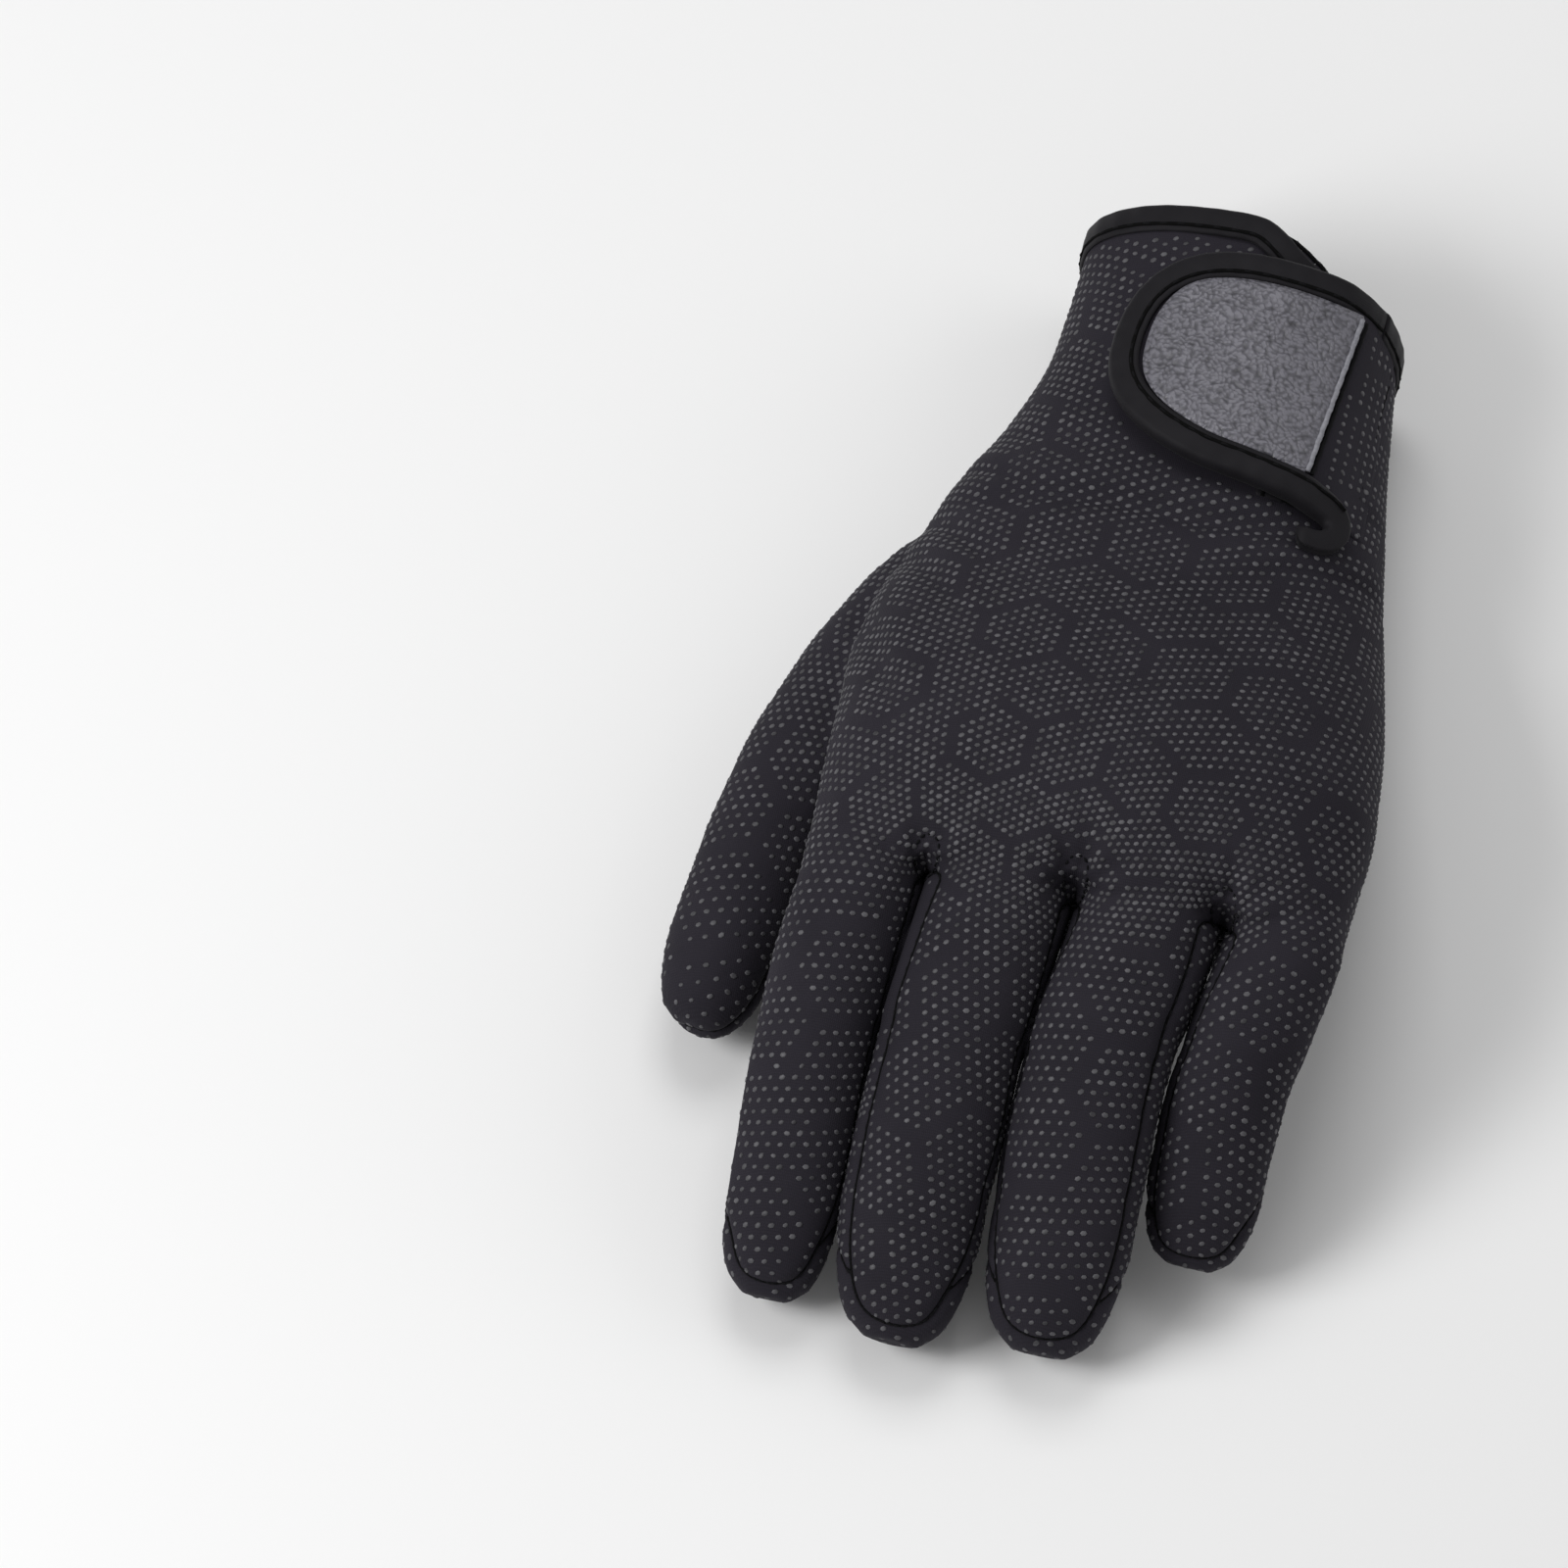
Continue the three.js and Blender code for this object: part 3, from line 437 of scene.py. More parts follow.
def joined_skin():
    """The outer surface of hand, fingers and thumb as one smooth mesh."""
    parts = [hand_tube(), thumb_limb()]
    parts += [finger_limb(i, finger) for i, finger in enumerate(FINGERS)]
    blank = mesh_object("blank", *joined(parts))
    remesh = blank.modifiers.new("join", "REMESH")
    remesh.mode = "VOXEL"
    remesh.voxel_size = CELL * MM
    graph = bpy.context.evaluated_depsgraph_get()
    made = bpy.data.meshes.new_from_object(blank.evaluated_get(graph))
    points, triangles = mesh_arrays(made)
    bpy.data.objects.remove(blank)
    bpy.data.meshes.remove(made)
    edges = edges_of(triangles)
    points = relax(points, edges, 5)
    near = np.zeros(len(points))
    zones = [(x, 2, 9, 9) for x in crotch_places()] + [(-50, 38, 9, 22), (52, 0, 8, 13), (-52, 0, 8, 13)]
    for x, y, wide, long in zones:
        reach = np.hypot((points[:, 0] - x) / wide, (points[:, 1] - y) / long)
        near = np.maximum(near, 1 - smooth(0.6, 1.2, reach))
    points = relax(points, edges, 14, near)
    points[:, 0] -= unspread(points)
    for place in crotch_places():
        x = (points[:, 0] - place) / 5
        points[:, 1] += CROTCH_RISE * np.exp(-(x**2) - ((points[:, 1] + 1) / 9) ** 2)
    return points, triangles, edges


def unspread(points):
    """How far each point was moved while the fingers were spread."""
    x, y = points[:, 0], points[:, 1]
    part = smooth(SPREAD_FROM, SPREAD_TO, y)
    half_gap = 0.45
    result = np.full(len(points), spread_of(0))
    for i, pair in enumerate(PAIRS):
        gap = gap_middle(*pair, y)
        low = gap - half_gap + spread_of(i) * part
        high = gap + half_gap + spread_of(i + 1) * part
        result = result + np.clip((x - low) / np.maximum(high - low, 1e-6), 0, 1) * FINGER_SPREAD
    return result * part


def drawn_together(points):
    """The fingers lie a little closer together than their tubes, and bow towards the thumb."""
    x, y = points[:, 0], points[:, 1]
    along = np.clip(-y / FINGER_LENGTH, 0, 1)
    shift = FINGER_BOW * 4 * along * (1 - along)
    for pair, closing in zip(PAIRS, FINGER_CLOSING):
        shift = shift + closing * np.clip(x - gap_middle(*pair, y) + 0.5, 0, 1) * smooth(0, -28, y)
    return shift * smooth(-HAND_BREADTH * 0.53, -HAND_BREADTH * 0.52, x)


def crease(points, normals):
    """Creases, puckers at the crotches and the soft unevenness of laid cloth, as a push along the normal."""
    x, y, z = points.T
    upper = smooth(0.1, 0.5, normals[:, 2])
    push = np.zeros(len(points))
    for fold in CREASES:
        turn, spread_by = math.radians(fold["turn"]), fold["spread"]
        u = (x - fold["x"]) * math.cos(turn) + (y - fold["y"]) * math.sin(turn)
        v = -(x - fold["x"]) * math.sin(turn) + (y - fold["y"]) * math.cos(turn)
        v = v + 0.9 * np.sin(u / 7.0) * spread_by * 0.4
        groove = np.exp(-((v / spread_by) ** 2))
        swell = 0.5 * np.exp(-(((v - 2.2 * spread_by) / (1.6 * spread_by)) ** 2))
        push += 1.35 * fold["depth"] * np.exp(-((u / fold["reach"]) ** 4)) * (swell - groove) * upper
    for i, place in enumerate(crotch_places()):
        dx, dy = x - place, y - 1.0
        radius = np.hypot(dx, dy)
        rays = np.cos(np.arctan2(dx, dy) * (7 + i) + 0.8 * i)
        rays = rays * smooth(1.5, 4.5, radius) * (1 - smooth(6, 15, radius))
        push += 0.34 * rays * upper * smooth(-3, 3, y)
        push -= 0.9 * np.exp(-((dx / 3.2) ** 2) - ((y - 6) / 7) ** 2) * upper
    waves = 0.30 * np.sin(x / 8.1 + 1.1 * np.sin(y / 17.0)) * np.sin(y / 12.7 + 0.6)
    waves += 0.16 * np.sin(x / 4.3 + y / 6.1 + 1.7) * np.sin(y / 8.9 - x / 11.0)
    for finger in FINGERS:
        run = finger["length"] * FINGER_LENGTH
        axis = finger_axis(finger, np.clip(-y / run, 0, 1))
        mine = np.exp(-(((x - axis[:, 0]) / (0.62 * FINGER_WIDTH)) ** 8)) * smooth(-2, -8, y)
        for share, depth in ((0.36, 0.28), (0.42, 0.2), (0.66, 0.22)):
            push -= depth * mine * np.exp(-(((y + share * run) / 1.8) ** 2))
    return push + waves * smooth(2.0, 9.0, z)


# Seams

def seam_height(points, level):
    """The height of the upper (1) or lower (-1) seam surface over each point."""
    stations = np.concatenate([np.arange(-1.25 * FINGER_LENGTH, 24, 1.5), np.arange(24, 176, 4.0)])
    table = [np.stack(np.broadcast_arrays(*part), 1) for part in zip(*seam_rows(stations, level))]
    where = np.interp(points[:, 1], stations, np.arange(len(stations)))
    low = np.clip(where.astype(int), 0, len(stations) - 2)
    part = (where - low)[:, None]
    xs, zs = (values[low] * (1 - part) + values[low + 1] * part for values in table)
    i = np.clip((points[:, :1] > xs).sum(1) - 1, 0, xs.shape[1] - 2)
    n = np.arange(len(points))
    t = np.clip((points[:, 0] - xs[n, i]) / (xs[n, i + 1] - xs[n, i]), 0, 1)
    return zs[n, i] * (1 - t) + zs[n, i + 1] * t


def seam_rows(y, level):
    """Places across and heights of the rows of a seam surface, as in the solids."""
    along = y / PALM_LENGTH
    centre, half_hand, _, _ = hand_section(np.maximum(y, 0.0))
    hand_left, hand_right = centre - half_hand, centre + half_hand
    seam_left, seam_right = (column(PALM, key, "along", along) * ARCH_HEIGHT
                             for key in ("seam_thumb", "seam_little"))
    in_hand = smooth(0, CROTCH_ROUND + 2, y)
    share = np.clip(y / THUMB_REACH, THUMB[-1]["along"], THUMB[0]["along"])
    thumb_x = column(THUMB[::-1], "across", "along", share) * THUMB_REACH
    thumb_z = column(THUMB[::-1], "height", "along", share) * THUMB_HEIGHT
    thumb_part = 1 - smooth(0.3, 0.62, along)
    half = THUMB_WIDTH / 2
    index = FINGERS[0]
    index_left = finger_axis(index, 0)[0] - index["width"] * FINGER_WIDTH / 2 - 0.6
    outer_x = np.minimum(thumb_x - half, hand_left - 8)
    web_x = np.minimum(hand_left, index_left) - 0.8
    outer_z, web_z = ((thumb_z + part * half) * thumb_part + seam_left * (1 - thumb_part)
                      for part in (-0.4, 0.3))
    row = [(-HAND_BREADTH + 0 * y, outer_z), (outer_x, outer_z), (web_x, web_z)]
    for i, finger in enumerate(FINGERS):
        t = -y / (finger["length"] * FINGER_LENGTH)
        axis = finger_axis(finger, np.clip(t, -0.2, 1.0))
        tall = finger["depth"] * FINGER_DEPTH / 2
        along_finger = 1 - smooth(0.66, 0.92, t)
        side = finger["width"] * FINGER_WIDTH * 0.5
        left_x, right_x = axis[..., 0] - side - 0.4, np.maximum(axis[..., 0] + side, hand_right) + 0.8
        if i:
            left_x = gap_middle(*PAIRS[i - 1], y) + 0.35
        if i < len(PAIRS):
            right_x = gap_middle(*PAIRS[i], y) - 0.35
        tip = 0.55
        for x, key in ((left_x, "left_"), (right_x, "right_")):
            key = key + ("up" if level > 0 else "low")
            z = axis[..., 2] + tall * (tip + (finger[key] - tip) * along_finger)
            place = np.clip((x - hand_left) / (hand_right - hand_left), 0, 1)
            in_palm = seam_left + (seam_right - seam_left) * place
            row.append((x, z + (in_palm - z) * in_hand))
    return row + [(HAND_BREADTH + 0 * y, row[-1][1])]


def snap_to_zero(points, edges, field, held):
    """Moves the nearer end of each crossing edge to the place where the field is nought."""
    a, b = edges.T
    crossing = (field[a] * field[b] < 0)
    a, b = a[crossing], b[crossing]
    t = field[a] / (field[a] - field[b])
    span = np.linalg.norm(points[a] - points[b], axis=1)
    target = points[a] + t[:, None] * (points[b] - points[a])
    who = np.where(t < 0.5, a, b)
    cost = np.where(t < 0.5, t, 1 - t) * span
    free = ~held[who]
    who, cost, target = who[free], cost[free], target[free]
    order = np.argsort(-cost)
    moved = points.copy()
    moved[who[order]] = target[order]
    snapped = np.zeros(len(points), bool)
    snapped[who] = True
    return moved, snapped


def thumb_cut(points):
    """Above nought on the thumb's side of the cut across its ball."""
    heel = np.array([-0.54 * THUMB_REACH, 0.415 * THUMB_REACH])
    way = np.array([-0.4, -0.92])
    return (points[:, :2] - heel) @ way


def label_panels(points, triangles, edges):
    """Moves points onto the seams and names the panel of each triangle."""
    upper = points[:, 2] - seam_height(points, 1)
    points, on_upper = snap_to_zero(points, edges, upper, np.zeros(len(points), bool))
    lower = points[:, 2] - seam_height(points, -1)
    lower[on_upper & (np.abs(lower) < 0.4)] = 0
    points, on_lower = snap_to_zero(points, edges, lower, on_upper)
    upper = points[:, 2] - seam_height(points, 1)
    lower = points[:, 2] - seam_height(points, -1)
    upper[on_upper] = 0
    lower[on_lower | (on_upper & (np.abs(lower) < 0.4))] = 0
    middle = points[triangles].mean(1)
    x, y, z = middle.T
    above = upper[triangles].sum(1) > 0
    below = lower[triangles].sum(1) < 0
    thin = (seam_height(middle, 1) - seam_height(middle, -1)) < 0.8
    thin |= (x < gap_middle(FINGERS[0], FINGERS[0], y)) | (x > gap_middle(FINGERS[3], FINGERS[3], y))
    below = np.where(thin, ~above, below)
    nearest = np.argmin([np.abs(x - gap_middle(*pair, y)) for pair in PAIRS], 0)
    label = np.where(above, 0, np.where(below, 1, 2 + nearest))
    web = gap_middle(FINGERS[0], FINGERS[0], y) - FINGERS[0]["width"] * FINGER_WIDTH / 2
    thumb = (thumb_cut(middle) > 0) & (x < web + 0.6 - 2.6 * smooth(0, -6, y)) & (y > -0.25 * THUMB_REACH)
    label[(label == 1) & thumb & (z < 32)] = 5
    return points, label, upper, lower


def cuff_line(x):
    return PALM_LENGTH - CUFF_STEP * smooth(0.04, 0.3, np.asarray(x) / HAND_BREADTH)


def kept_cloth(middle):
    """The cloth ends inside the cuff's tape, and is slit under the tab."""
    x, y, z = middle.T
    past_cuff = y > cuff_line(x) - 1.0
    slit = (x > SLIT_LEFT - 0.6) & (x < SLIT_RIGHT + 1.5) & (y > TAB_BOTTOM + 1.2) & (z > ARCH_HEIGHT * 0.45)
    return ~(past_cuff | slit)


def compact(points, normals, triangles):
    """Only the points that the triangles use."""
    used, inverse = np.unique(triangles, return_inverse=True)
    return points[used], normals[used], inverse.reshape(triangles.shape)


def closed(outer, inner, triangles):
    """A closed body between two skins, with the kind of each face and the border of the outer skin."""
    count = len(outer)
    edges = directed(triangles)
    border = edges[~np.isin(edges @ [count, 1], edges @ [1, count])]
    a, b = border.T
    rim = [np.stack([b, a, a + count], 1), np.stack([b, a + count, b + count], 1)]
    faces = np.concatenate([triangles, triangles[:, ::-1] + count, *rim])
    kind = np.repeat([0, 1, 0], [len(triangles), len(triangles), 2 * len(border)])
    return np.concatenate([outer, inner]), faces, kind, border


def main_body(triangles, count):
    """The triangles of the largest connected body."""
    parent = np.arange(count)
    for _ in range(400):
        low = parent[triangles].min(1)
        new = parent.copy()
        for i in range(3):
            np.minimum.at(new, triangles[:, i], low)
        new = new[new]
        if np.array_equal(new, parent):
            break
        parent = new
    root = parent[triangles[:, 0]]
    names, sizes = np.unique(root, return_counts=True)
    return triangles[root == names[np.argmax(sizes)]]


def thicken(points, normals, triangles, depth):
    """A closed panel: the outer skin, its lining and a rim between them."""
    inner = points - normals * depth
    inner[:, 2] = np.maximum(inner[:, 2], depth * 0.9)
    return closed(points, inner, triangles)


# Flat patterns and dots

def turned_product(a, b):
    """Twice the area between two flat ways, with its sign."""
    return a[..., 0] * b[..., 1] - a[..., 1] * b[..., 0]


def flat_pattern(name, points, triangles):
    """Flat coordinates of a panel in millimetres, from an unwrap, upright and true to size."""
    obj = mesh_object(name + "_flat", points, triangles)
    mesh = obj.data
    mesh.uv_layers.new(name="flat")
    bpy.context.view_layer.objects.active = obj
    obj.select_set(True)
    bpy.ops.object.mode_set(mode="EDIT")
    bpy.ops.mesh.select_all(action="SELECT")
    bpy.ops.uv.unwrap(method="ANGLE_BASED", margin=0)
    bpy.ops.object.mode_set(mode="OBJECT")
    loops = np.empty(len(mesh.loops) * 2)
    mesh.uv_layers["flat"].data.foreach_get("uv", loops)
    corner = np.empty(len(mesh.loops), np.int64)
    mesh.loops.foreach_get("vertex_index", corner)
    flat = np.zeros((len(points), 2))
    flat[corner] = loops.reshape(-1, 2)
    bpy.data.objects.remove(obj)
    a, b, c = (points[triangles[:, i]] for i in range(3))
    real = np.linalg.norm(np.cross(b - a, c - a), axis=1)
    a, b, c = (flat[triangles[:, i]] for i in range(3))
    drawn = turned_product(b - a, c - a)
    if drawn.sum() < 0:
        flat[:, 0] *= -1
    flat *= math.sqrt(real.sum() / max(np.abs(drawn).sum(), 1e-12))
    centred = flat - flat.mean(0)
    y = points[:, 1] - points[:, 1].mean()
    slope = centred.T @ y
    slope /= np.linalg.norm(slope)
    turn = np.array([[slope[1], -slope[0]], [slope[0], slope[1]]])
    return centred @ turn.T


DOT_GRID = (1.88, 2.1)
DOT_SIDES = 6
DOT_RADIUS = 0.5
DOT_HEIGHT = 0.15
DOT_STRETCH = 1.35
CELL_PITCH = 16.7
CELL_GAP = 1.2
DOT_CENTRE = np.array([2.3, 35.6])
DOT_APART = 1.45
AROUND = [(a, b, c) for a in (-1, 0, 1) for b in (-1, 0, 1) for c in (-1, 0, 1)]


def dot_places(low, high, phase):
    """Staggered dots in honeycomb cells with bare lanes between them."""
    first = [math.floor((low[k] - phase[k]) / DOT_GRID[k]) - 1 for k in (0, 1)]
    last = [math.ceil((high[k] - phase[k]) / DOT_GRID[k]) + 1 for k in (0, 1)]
    i, j = np.meshgrid(np.arange(first[0], last[0]), np.arange(first[1], last[1]), indexing="ij")
    u = i * DOT_GRID[0]
    v = j * DOT_GRID[1] + (i % 2) * DOT_GRID[1] / 2
    row_pitch = CELL_PITCH * math.sqrt(3) / 2
    inside = np.zeros(u.shape, bool)
    for step in (-1, 0, 1):
        r = np.round(v / row_pitch) + step
        shift = (r % 2) * CELL_PITCH / 2
        c = np.round((u - shift) / CELL_PITCH)
        dx = np.abs(u - shift - c * CELL_PITCH)
        dy = np.abs(v - r * row_pitch)
        reach = np.maximum(dx, dx * 0.5 + dy * math.sqrt(3) / 2)
        inside |= reach < (CELL_PITCH - CELL_GAP) / 2
    return np.stack([u[inside] + phase[0], v[inside] + phase[1]], 1)


def lift(places, flat, points, normals, triangles):
    """Where flat places lie on a panel: points and normals of the places that fall on it."""
    size = 1.6
    corners = flat[triangles]
    low = np.floor(corners.min(1) / size).astype(int)
    high = np.floor(corners.max(1) / size).astype(int)
    cells = {}
    for t in range(len(triangles)):
        for cx in range(low[t, 0], high[t, 0] + 1):
            for cy in range(low[t, 1], high[t, 1] + 1):
                cells.setdefault((cx, cy), []).append(t)
    spot, face = [], []
    for p in places:
        for t in cells.get((math.floor(p[0] / size), math.floor(p[1] / size)), ()):
            a, b, c = corners[t]
            det = turned_product(b - a, c - a)
            if abs(det) < 1e-12:
                continue
            s = turned_product(p - a, c - a) / det
            r = turned_product(b - a, p - a) / det
            if s >= -1e-9 and r >= -1e-9 and s + r <= 1 + 1e-9:
                spot.append((1 - s - r, s, r))
                face.append(t)
                break
    weights = np.array(spot)[:, :, None]
    chosen = triangles[np.array(face)]
    at = (points[chosen] * weights).sum(1)
    way = (normals[chosen] * weights).sum(1)
    return at, unit(way)


def dots_mesh(at, way):
    """Low printed dots as joined domes."""
    side = unit(np.cross(way, [0.0, 1.0, 0.0]))
    other = np.cross(way, side)
    size = DOT_RADIUS * rng.uniform(0.8, 1.1, len(at))
    lean = rng.normal(0.35, 0.25, len(at))[:, None]
    side, other = side * np.cos(lean) + other * np.sin(lean), other * np.cos(lean) - side * np.sin(lean)
    section = oval(DOT_STRETCH, 1, DOT_SIDES)
    layers = [rings_along(at + way * height, side, other, section, share * size, share * size)
              for share, height in ((1.0, -0.12), (0.95, DOT_HEIGHT * 0.45), (0.55, DOT_HEIGHT))]
    i = np.arange(2 * DOT_SIDES)
    n = i + 1 - DOT_SIDES * (i % DOT_SIDES == DOT_SIDES - 1)
    quads = np.stack([i, n, n + DOT_SIDES, i + DOT_SIDES], 1)
    base = np.arange(DOT_SIDES)[None]
    starts = np.arange(len(at))[:, None, None] * 3 * DOT_SIDES
    polygons = []
    for part in (quads, base + 2 * DOT_SIDES, base[:, ::-1]):
        polygons += (part + starts).reshape(-1, part.shape[1]).tolist()
    if np.einsum("ij,ij->i", np.cross(side, other), way).mean() < 0:
        polygons = [p[::-1] for p in polygons]
    return np.concatenate(layers, 1).reshape(-1, 3), polygons


# Sewing

def stitch_mesh(path, up, pitch, length, radius, sink=0.0):
    """Small threads lying along a path, each a bent rod with pointed ends, as one mesh."""
    run = run_along(path)
    t = np.linspace(0, 1, 5)
    hump = np.sin(math.pi * t) ** 0.6
    thick = radius * (0.45 + 0.55 * hump)
    rise = ((hump - 0.75) * radius * 1.4 - sink)[:, None]
    parts = []
    for start in np.arange(pitch * 0.3, run[-1] - length, pitch):
        at, normal = (read_along(run, values, start + t * length) for values in (path, up))
        normal = unit(normal)
        side = unit(np.cross(np.gradient(at, axis=0), normal))
        parts.append(loft(rings_along(at + normal * rise, side, normal, oval(1, 1, 5), thick, thick)))
    return joined(parts)


def chains(border):
    """Ordered runs of points along border edges."""
    follow = {}
    for a, b in border.tolist():
        follow.setdefault(a, []).append(b)
    ends = set(border[:, 1].tolist())
    seen, found = set(), []
    for start in [a for a in follow if a not in ends] + list(follow):
        run, ways = [], [start]
        while ways := [b for b in ways if b not in seen]:
            run.append(ways[0])
            seen.add(ways[0])
            ways = follow.get(ways[0], [])
        if len(run) > 12:
            found.append(np.array(run))
    return found


def smooth_run(values, times=4):
    for _ in range(times):
        values = values.copy()
        values[1:-1] = values[1:-1] * 0.5 + (values[:-2] + values[2:]) * 0.25
    return values


# Tab, patch and binding

def bezier(a, b, c, d, count):
    t = np.linspace(0, 1, count, endpoint=False)[:, None]
    a, b, c, d = (np.array(p, float) for p in (a, b, c, d))
    return (1 - t) ** 3 * a + 3 * (1 - t) ** 2 * t * b + 3 * (1 - t) * t**2 * c + t**3 * d


def tab_edge():
    """The tab's free edge in plan: from its top right, round its nose, to its heel at the slit's foot."""
    def at(across, up):
        return TAB_NOSE + across * (SLIT_RIGHT - TAB_NOSE), TAB_BOTTOM + up * TAB_WIDTH

    start = (SLIT_RIGHT + TAB_ROOT, TAB_TOP - TAB_RISE)
    shoulder, nose, chin, heel = at(0.57, 1), at(0, 0.51), at(0.44, 0.073), at(0.89, 0)
    top = np.linspace(start, shoulder, 30, endpoint=False)
    upper = bezier(shoulder, at(0.17, 1.02), at(0, 0.86), nose, 60)
    lower = bezier(nose, at(0, 0.29), at(0.17, 0.152), chin, 50)
    foot = np.linspace(chin, heel, 31)
    return smooth_run(np.concatenate([top, upper, lower, foot]), 6)


def outline_side(x, y, inset):
    """Above nought inside the tab's outline moved inwards."""
    edge = tab_edge()
    far = np.array([[HAND_BREADTH, edge[-1, 1]], [HAND_BREADTH, edge[0, 1]]])
    loop = np.concatenate([edge, far])
    nxt = np.roll(loop, -1, axis=0)
    inside = np.zeros(x.shape, bool)
    nearest = np.full(x.shape, 1e9)
    for i, ((x1, y1), (x2, y2)) in enumerate(zip(loop, nxt)):
        cross = ((y1 > y) != (y2 > y)) & (x < (x2 - x1) * (y - y1) / ((y2 - y1) or 1e-9) + x1)
        inside ^= cross
        if i >= len(edge) - 1:
            continue
        dx, dy = x2 - x1, y2 - y1
        t = np.clip(((x - x1) * dx + (y - y1) * dy) / (dx * dx + dy * dy), 0, 1)
        nearest = np.minimum(nearest, np.hypot(x - x1 - t * dx, y - y1 - t * dy))
    return np.where(inside, nearest, -nearest) - inset


def tab_under(x):
    """How far the tab's underside stands off the wrist's outer surface."""
    return -WALL + (WALL + TAB_GAP) * (1 - smooth(SLIT_LEFT + WALL, SLIT_RIGHT + TAB_ROOT, x))


def wrist_sheet(x_span, y_span, step, keep, low, high, ripple=None):
    """A closed sheet over the wrist: a fine grid in plan, kept where keep says, between two offsets."""
    gx, gy = np.meshgrid(*(np.arange(a, b + step, step) for a, b in (x_span, y_span)), indexing="ij")
    centre, half, _, _ = hand_section(gy)
    skins = []
    for level in (high, low):
        off = level(gx)
        turn = (gx - centre) / (half + off)
        steep = angle_at(centre + 0.8 * (half + off), gy, off) - (turn - 0.8) * 1.5
        angle = np.where(turn < 0.8, angle_at(gx, gy, off), steep)
        there = hand_point(angle, gy, 0.0)[..., 0]
        skins.append(hand_point(angle, gy, level(there)).reshape(-1, 3))
    both = np.concatenate(skins, 1)
    n = np.arange(gx.size).reshape(gx.shape)
    a, b, c, d = (part.ravel() for part in (n[:-1, :-1], n[1:, :-1], n[1:, 1:], n[:-1, 1:]))
    triangles = np.concatenate([np.stack([a, b, c], 1), np.stack([a, c, d], 1)])
    field = keep(gx, gy).ravel()
    edges = edges_of(triangles)
    p, q = edges[field[edges[:, 0]] * field[edges[:, 1]] < 0].T
    t = field[p] / (field[p] - field[q])
    who = np.where(t < 0.5, p, q)
    both[who] = both[p] + t[:, None] * (both[q] - both[p])
    field[who] = 0
    used, inverse = np.unique(triangles[field[triangles].sum(1) > 0], return_inverse=True)
    triangles = inverse.reshape(-1, 3)
    top, base = np.split(both[used], 2, 1)
    flat = np.stack([gx.ravel(), gy.ravel()], 1)[used]
    normals = normals_of(top, triangles)
    if normals[:, 2].mean() < 0:
        triangles, normals = triangles[:, ::-1], -normals
    if ripple is not None:
        top = top + normals * ripple(flat)[:, None]
    solid, faces, kind, _ = closed(top, base, triangles)
    return {"mesh": (solid, faces), "kind": kind, "outer": (flat, top, normals, triangles)}


def tape_profile(thick):
    """The section of a folded tape, outwards and across: a round fold outside, the cloth's slot inside."""
    outer = CLEARANCE + TAPE
    inner = BINDING_WIDTH - outer
    slot = WALL / 2 + CLEARANCE * 0.5
    crown = thick / 2
    points = [(-inner, slot), (-inner - 0.05, slot + TAPE * 0.55), (-inner + 0.5, slot + TAPE * 0.85),
              (-inner + 1.4, crown * 0.92), (-inner + 2.4, crown)]
    for turn in np.linspace(math.radians(80), math.radians(-80), 9):
        points.append((outer - crown * 0.7 + crown * 0.7 * math.cos(turn), crown * math.sin(turn)))
    points += [(u, -v) for u, v in points[4::-1]]
    points += [(-0.6, -slot), (-0.1, 0.0), (-0.6, slot)]
    return np.array(points)


def sweep(at, normal, profile, wobble=0.0):
    """A profile carried along a path, with small ripples as in sewn tape."""
    ahead = unit(np.gradient(at, axis=0))
    out = unit(np.cross(normal, ahead))
    up = np.cross(ahead, out)
    run = run_along(at)
    swell = 1 + wobble * (np.sin(run * 1.35) + 0.6 * np.sin(run * 0.47 + 1.0))
    ring = rings_along(at, out, up, profile, 1.0, swell)
    ring[..., 2] = np.maximum(ring[..., 2], 0.0)
    return ring, out, up


def resample(points, spacing):
    run = run_along(points)
    return read_along(run, points, np.linspace(0, run[-1], max(int(run[-1] / spacing), 8)))


def cuff_path():
    """Round the cuff from the tab, under the palm and back to the slit, and down the slit's left edge."""
    edge = float(cuff_line(SLIT_LEFT))
    turn = np.linspace(0, math.pi / 2, 16)
    foot = (SLIT_LEFT, SLIT_ROOT + CURL_RADIUS)
    plan = np.concatenate([
        np.linspace(foot, (SLIT_LEFT, edge - TURN_ROUND), 30, endpoint=False),
        np.stack([SLIT_LEFT + TURN_ROUND * (np.cos(turn) - 1), edge + TURN_ROUND * (np.sin(turn) - 1)], 1)])
    inside = -WALL / 2
    slit = on_hand(angle_at(*plan.T, inside), plan[:, 1], inside)
    start = float(angle_at(SLIT_LEFT - 1.6 * TURN_ROUND, edge))
    angle = np.linspace(start, 2 * math.pi + float(angle_at(BINDING_MEET - 1.0, TAB_TOP)), 200)
    x = hand_point(angle, TAB_TOP, 1.0)[:, 0]
    over = np.where(angle > 2 * math.pi, tab_under(x) + WALL / 2, inside)
    cuff = on_hand(angle, cuff_line(x), over)
    return np.split(resample(smooth_run(np.concatenate([slit, cuff])[::-1], 10), 0.8), 2, 1)


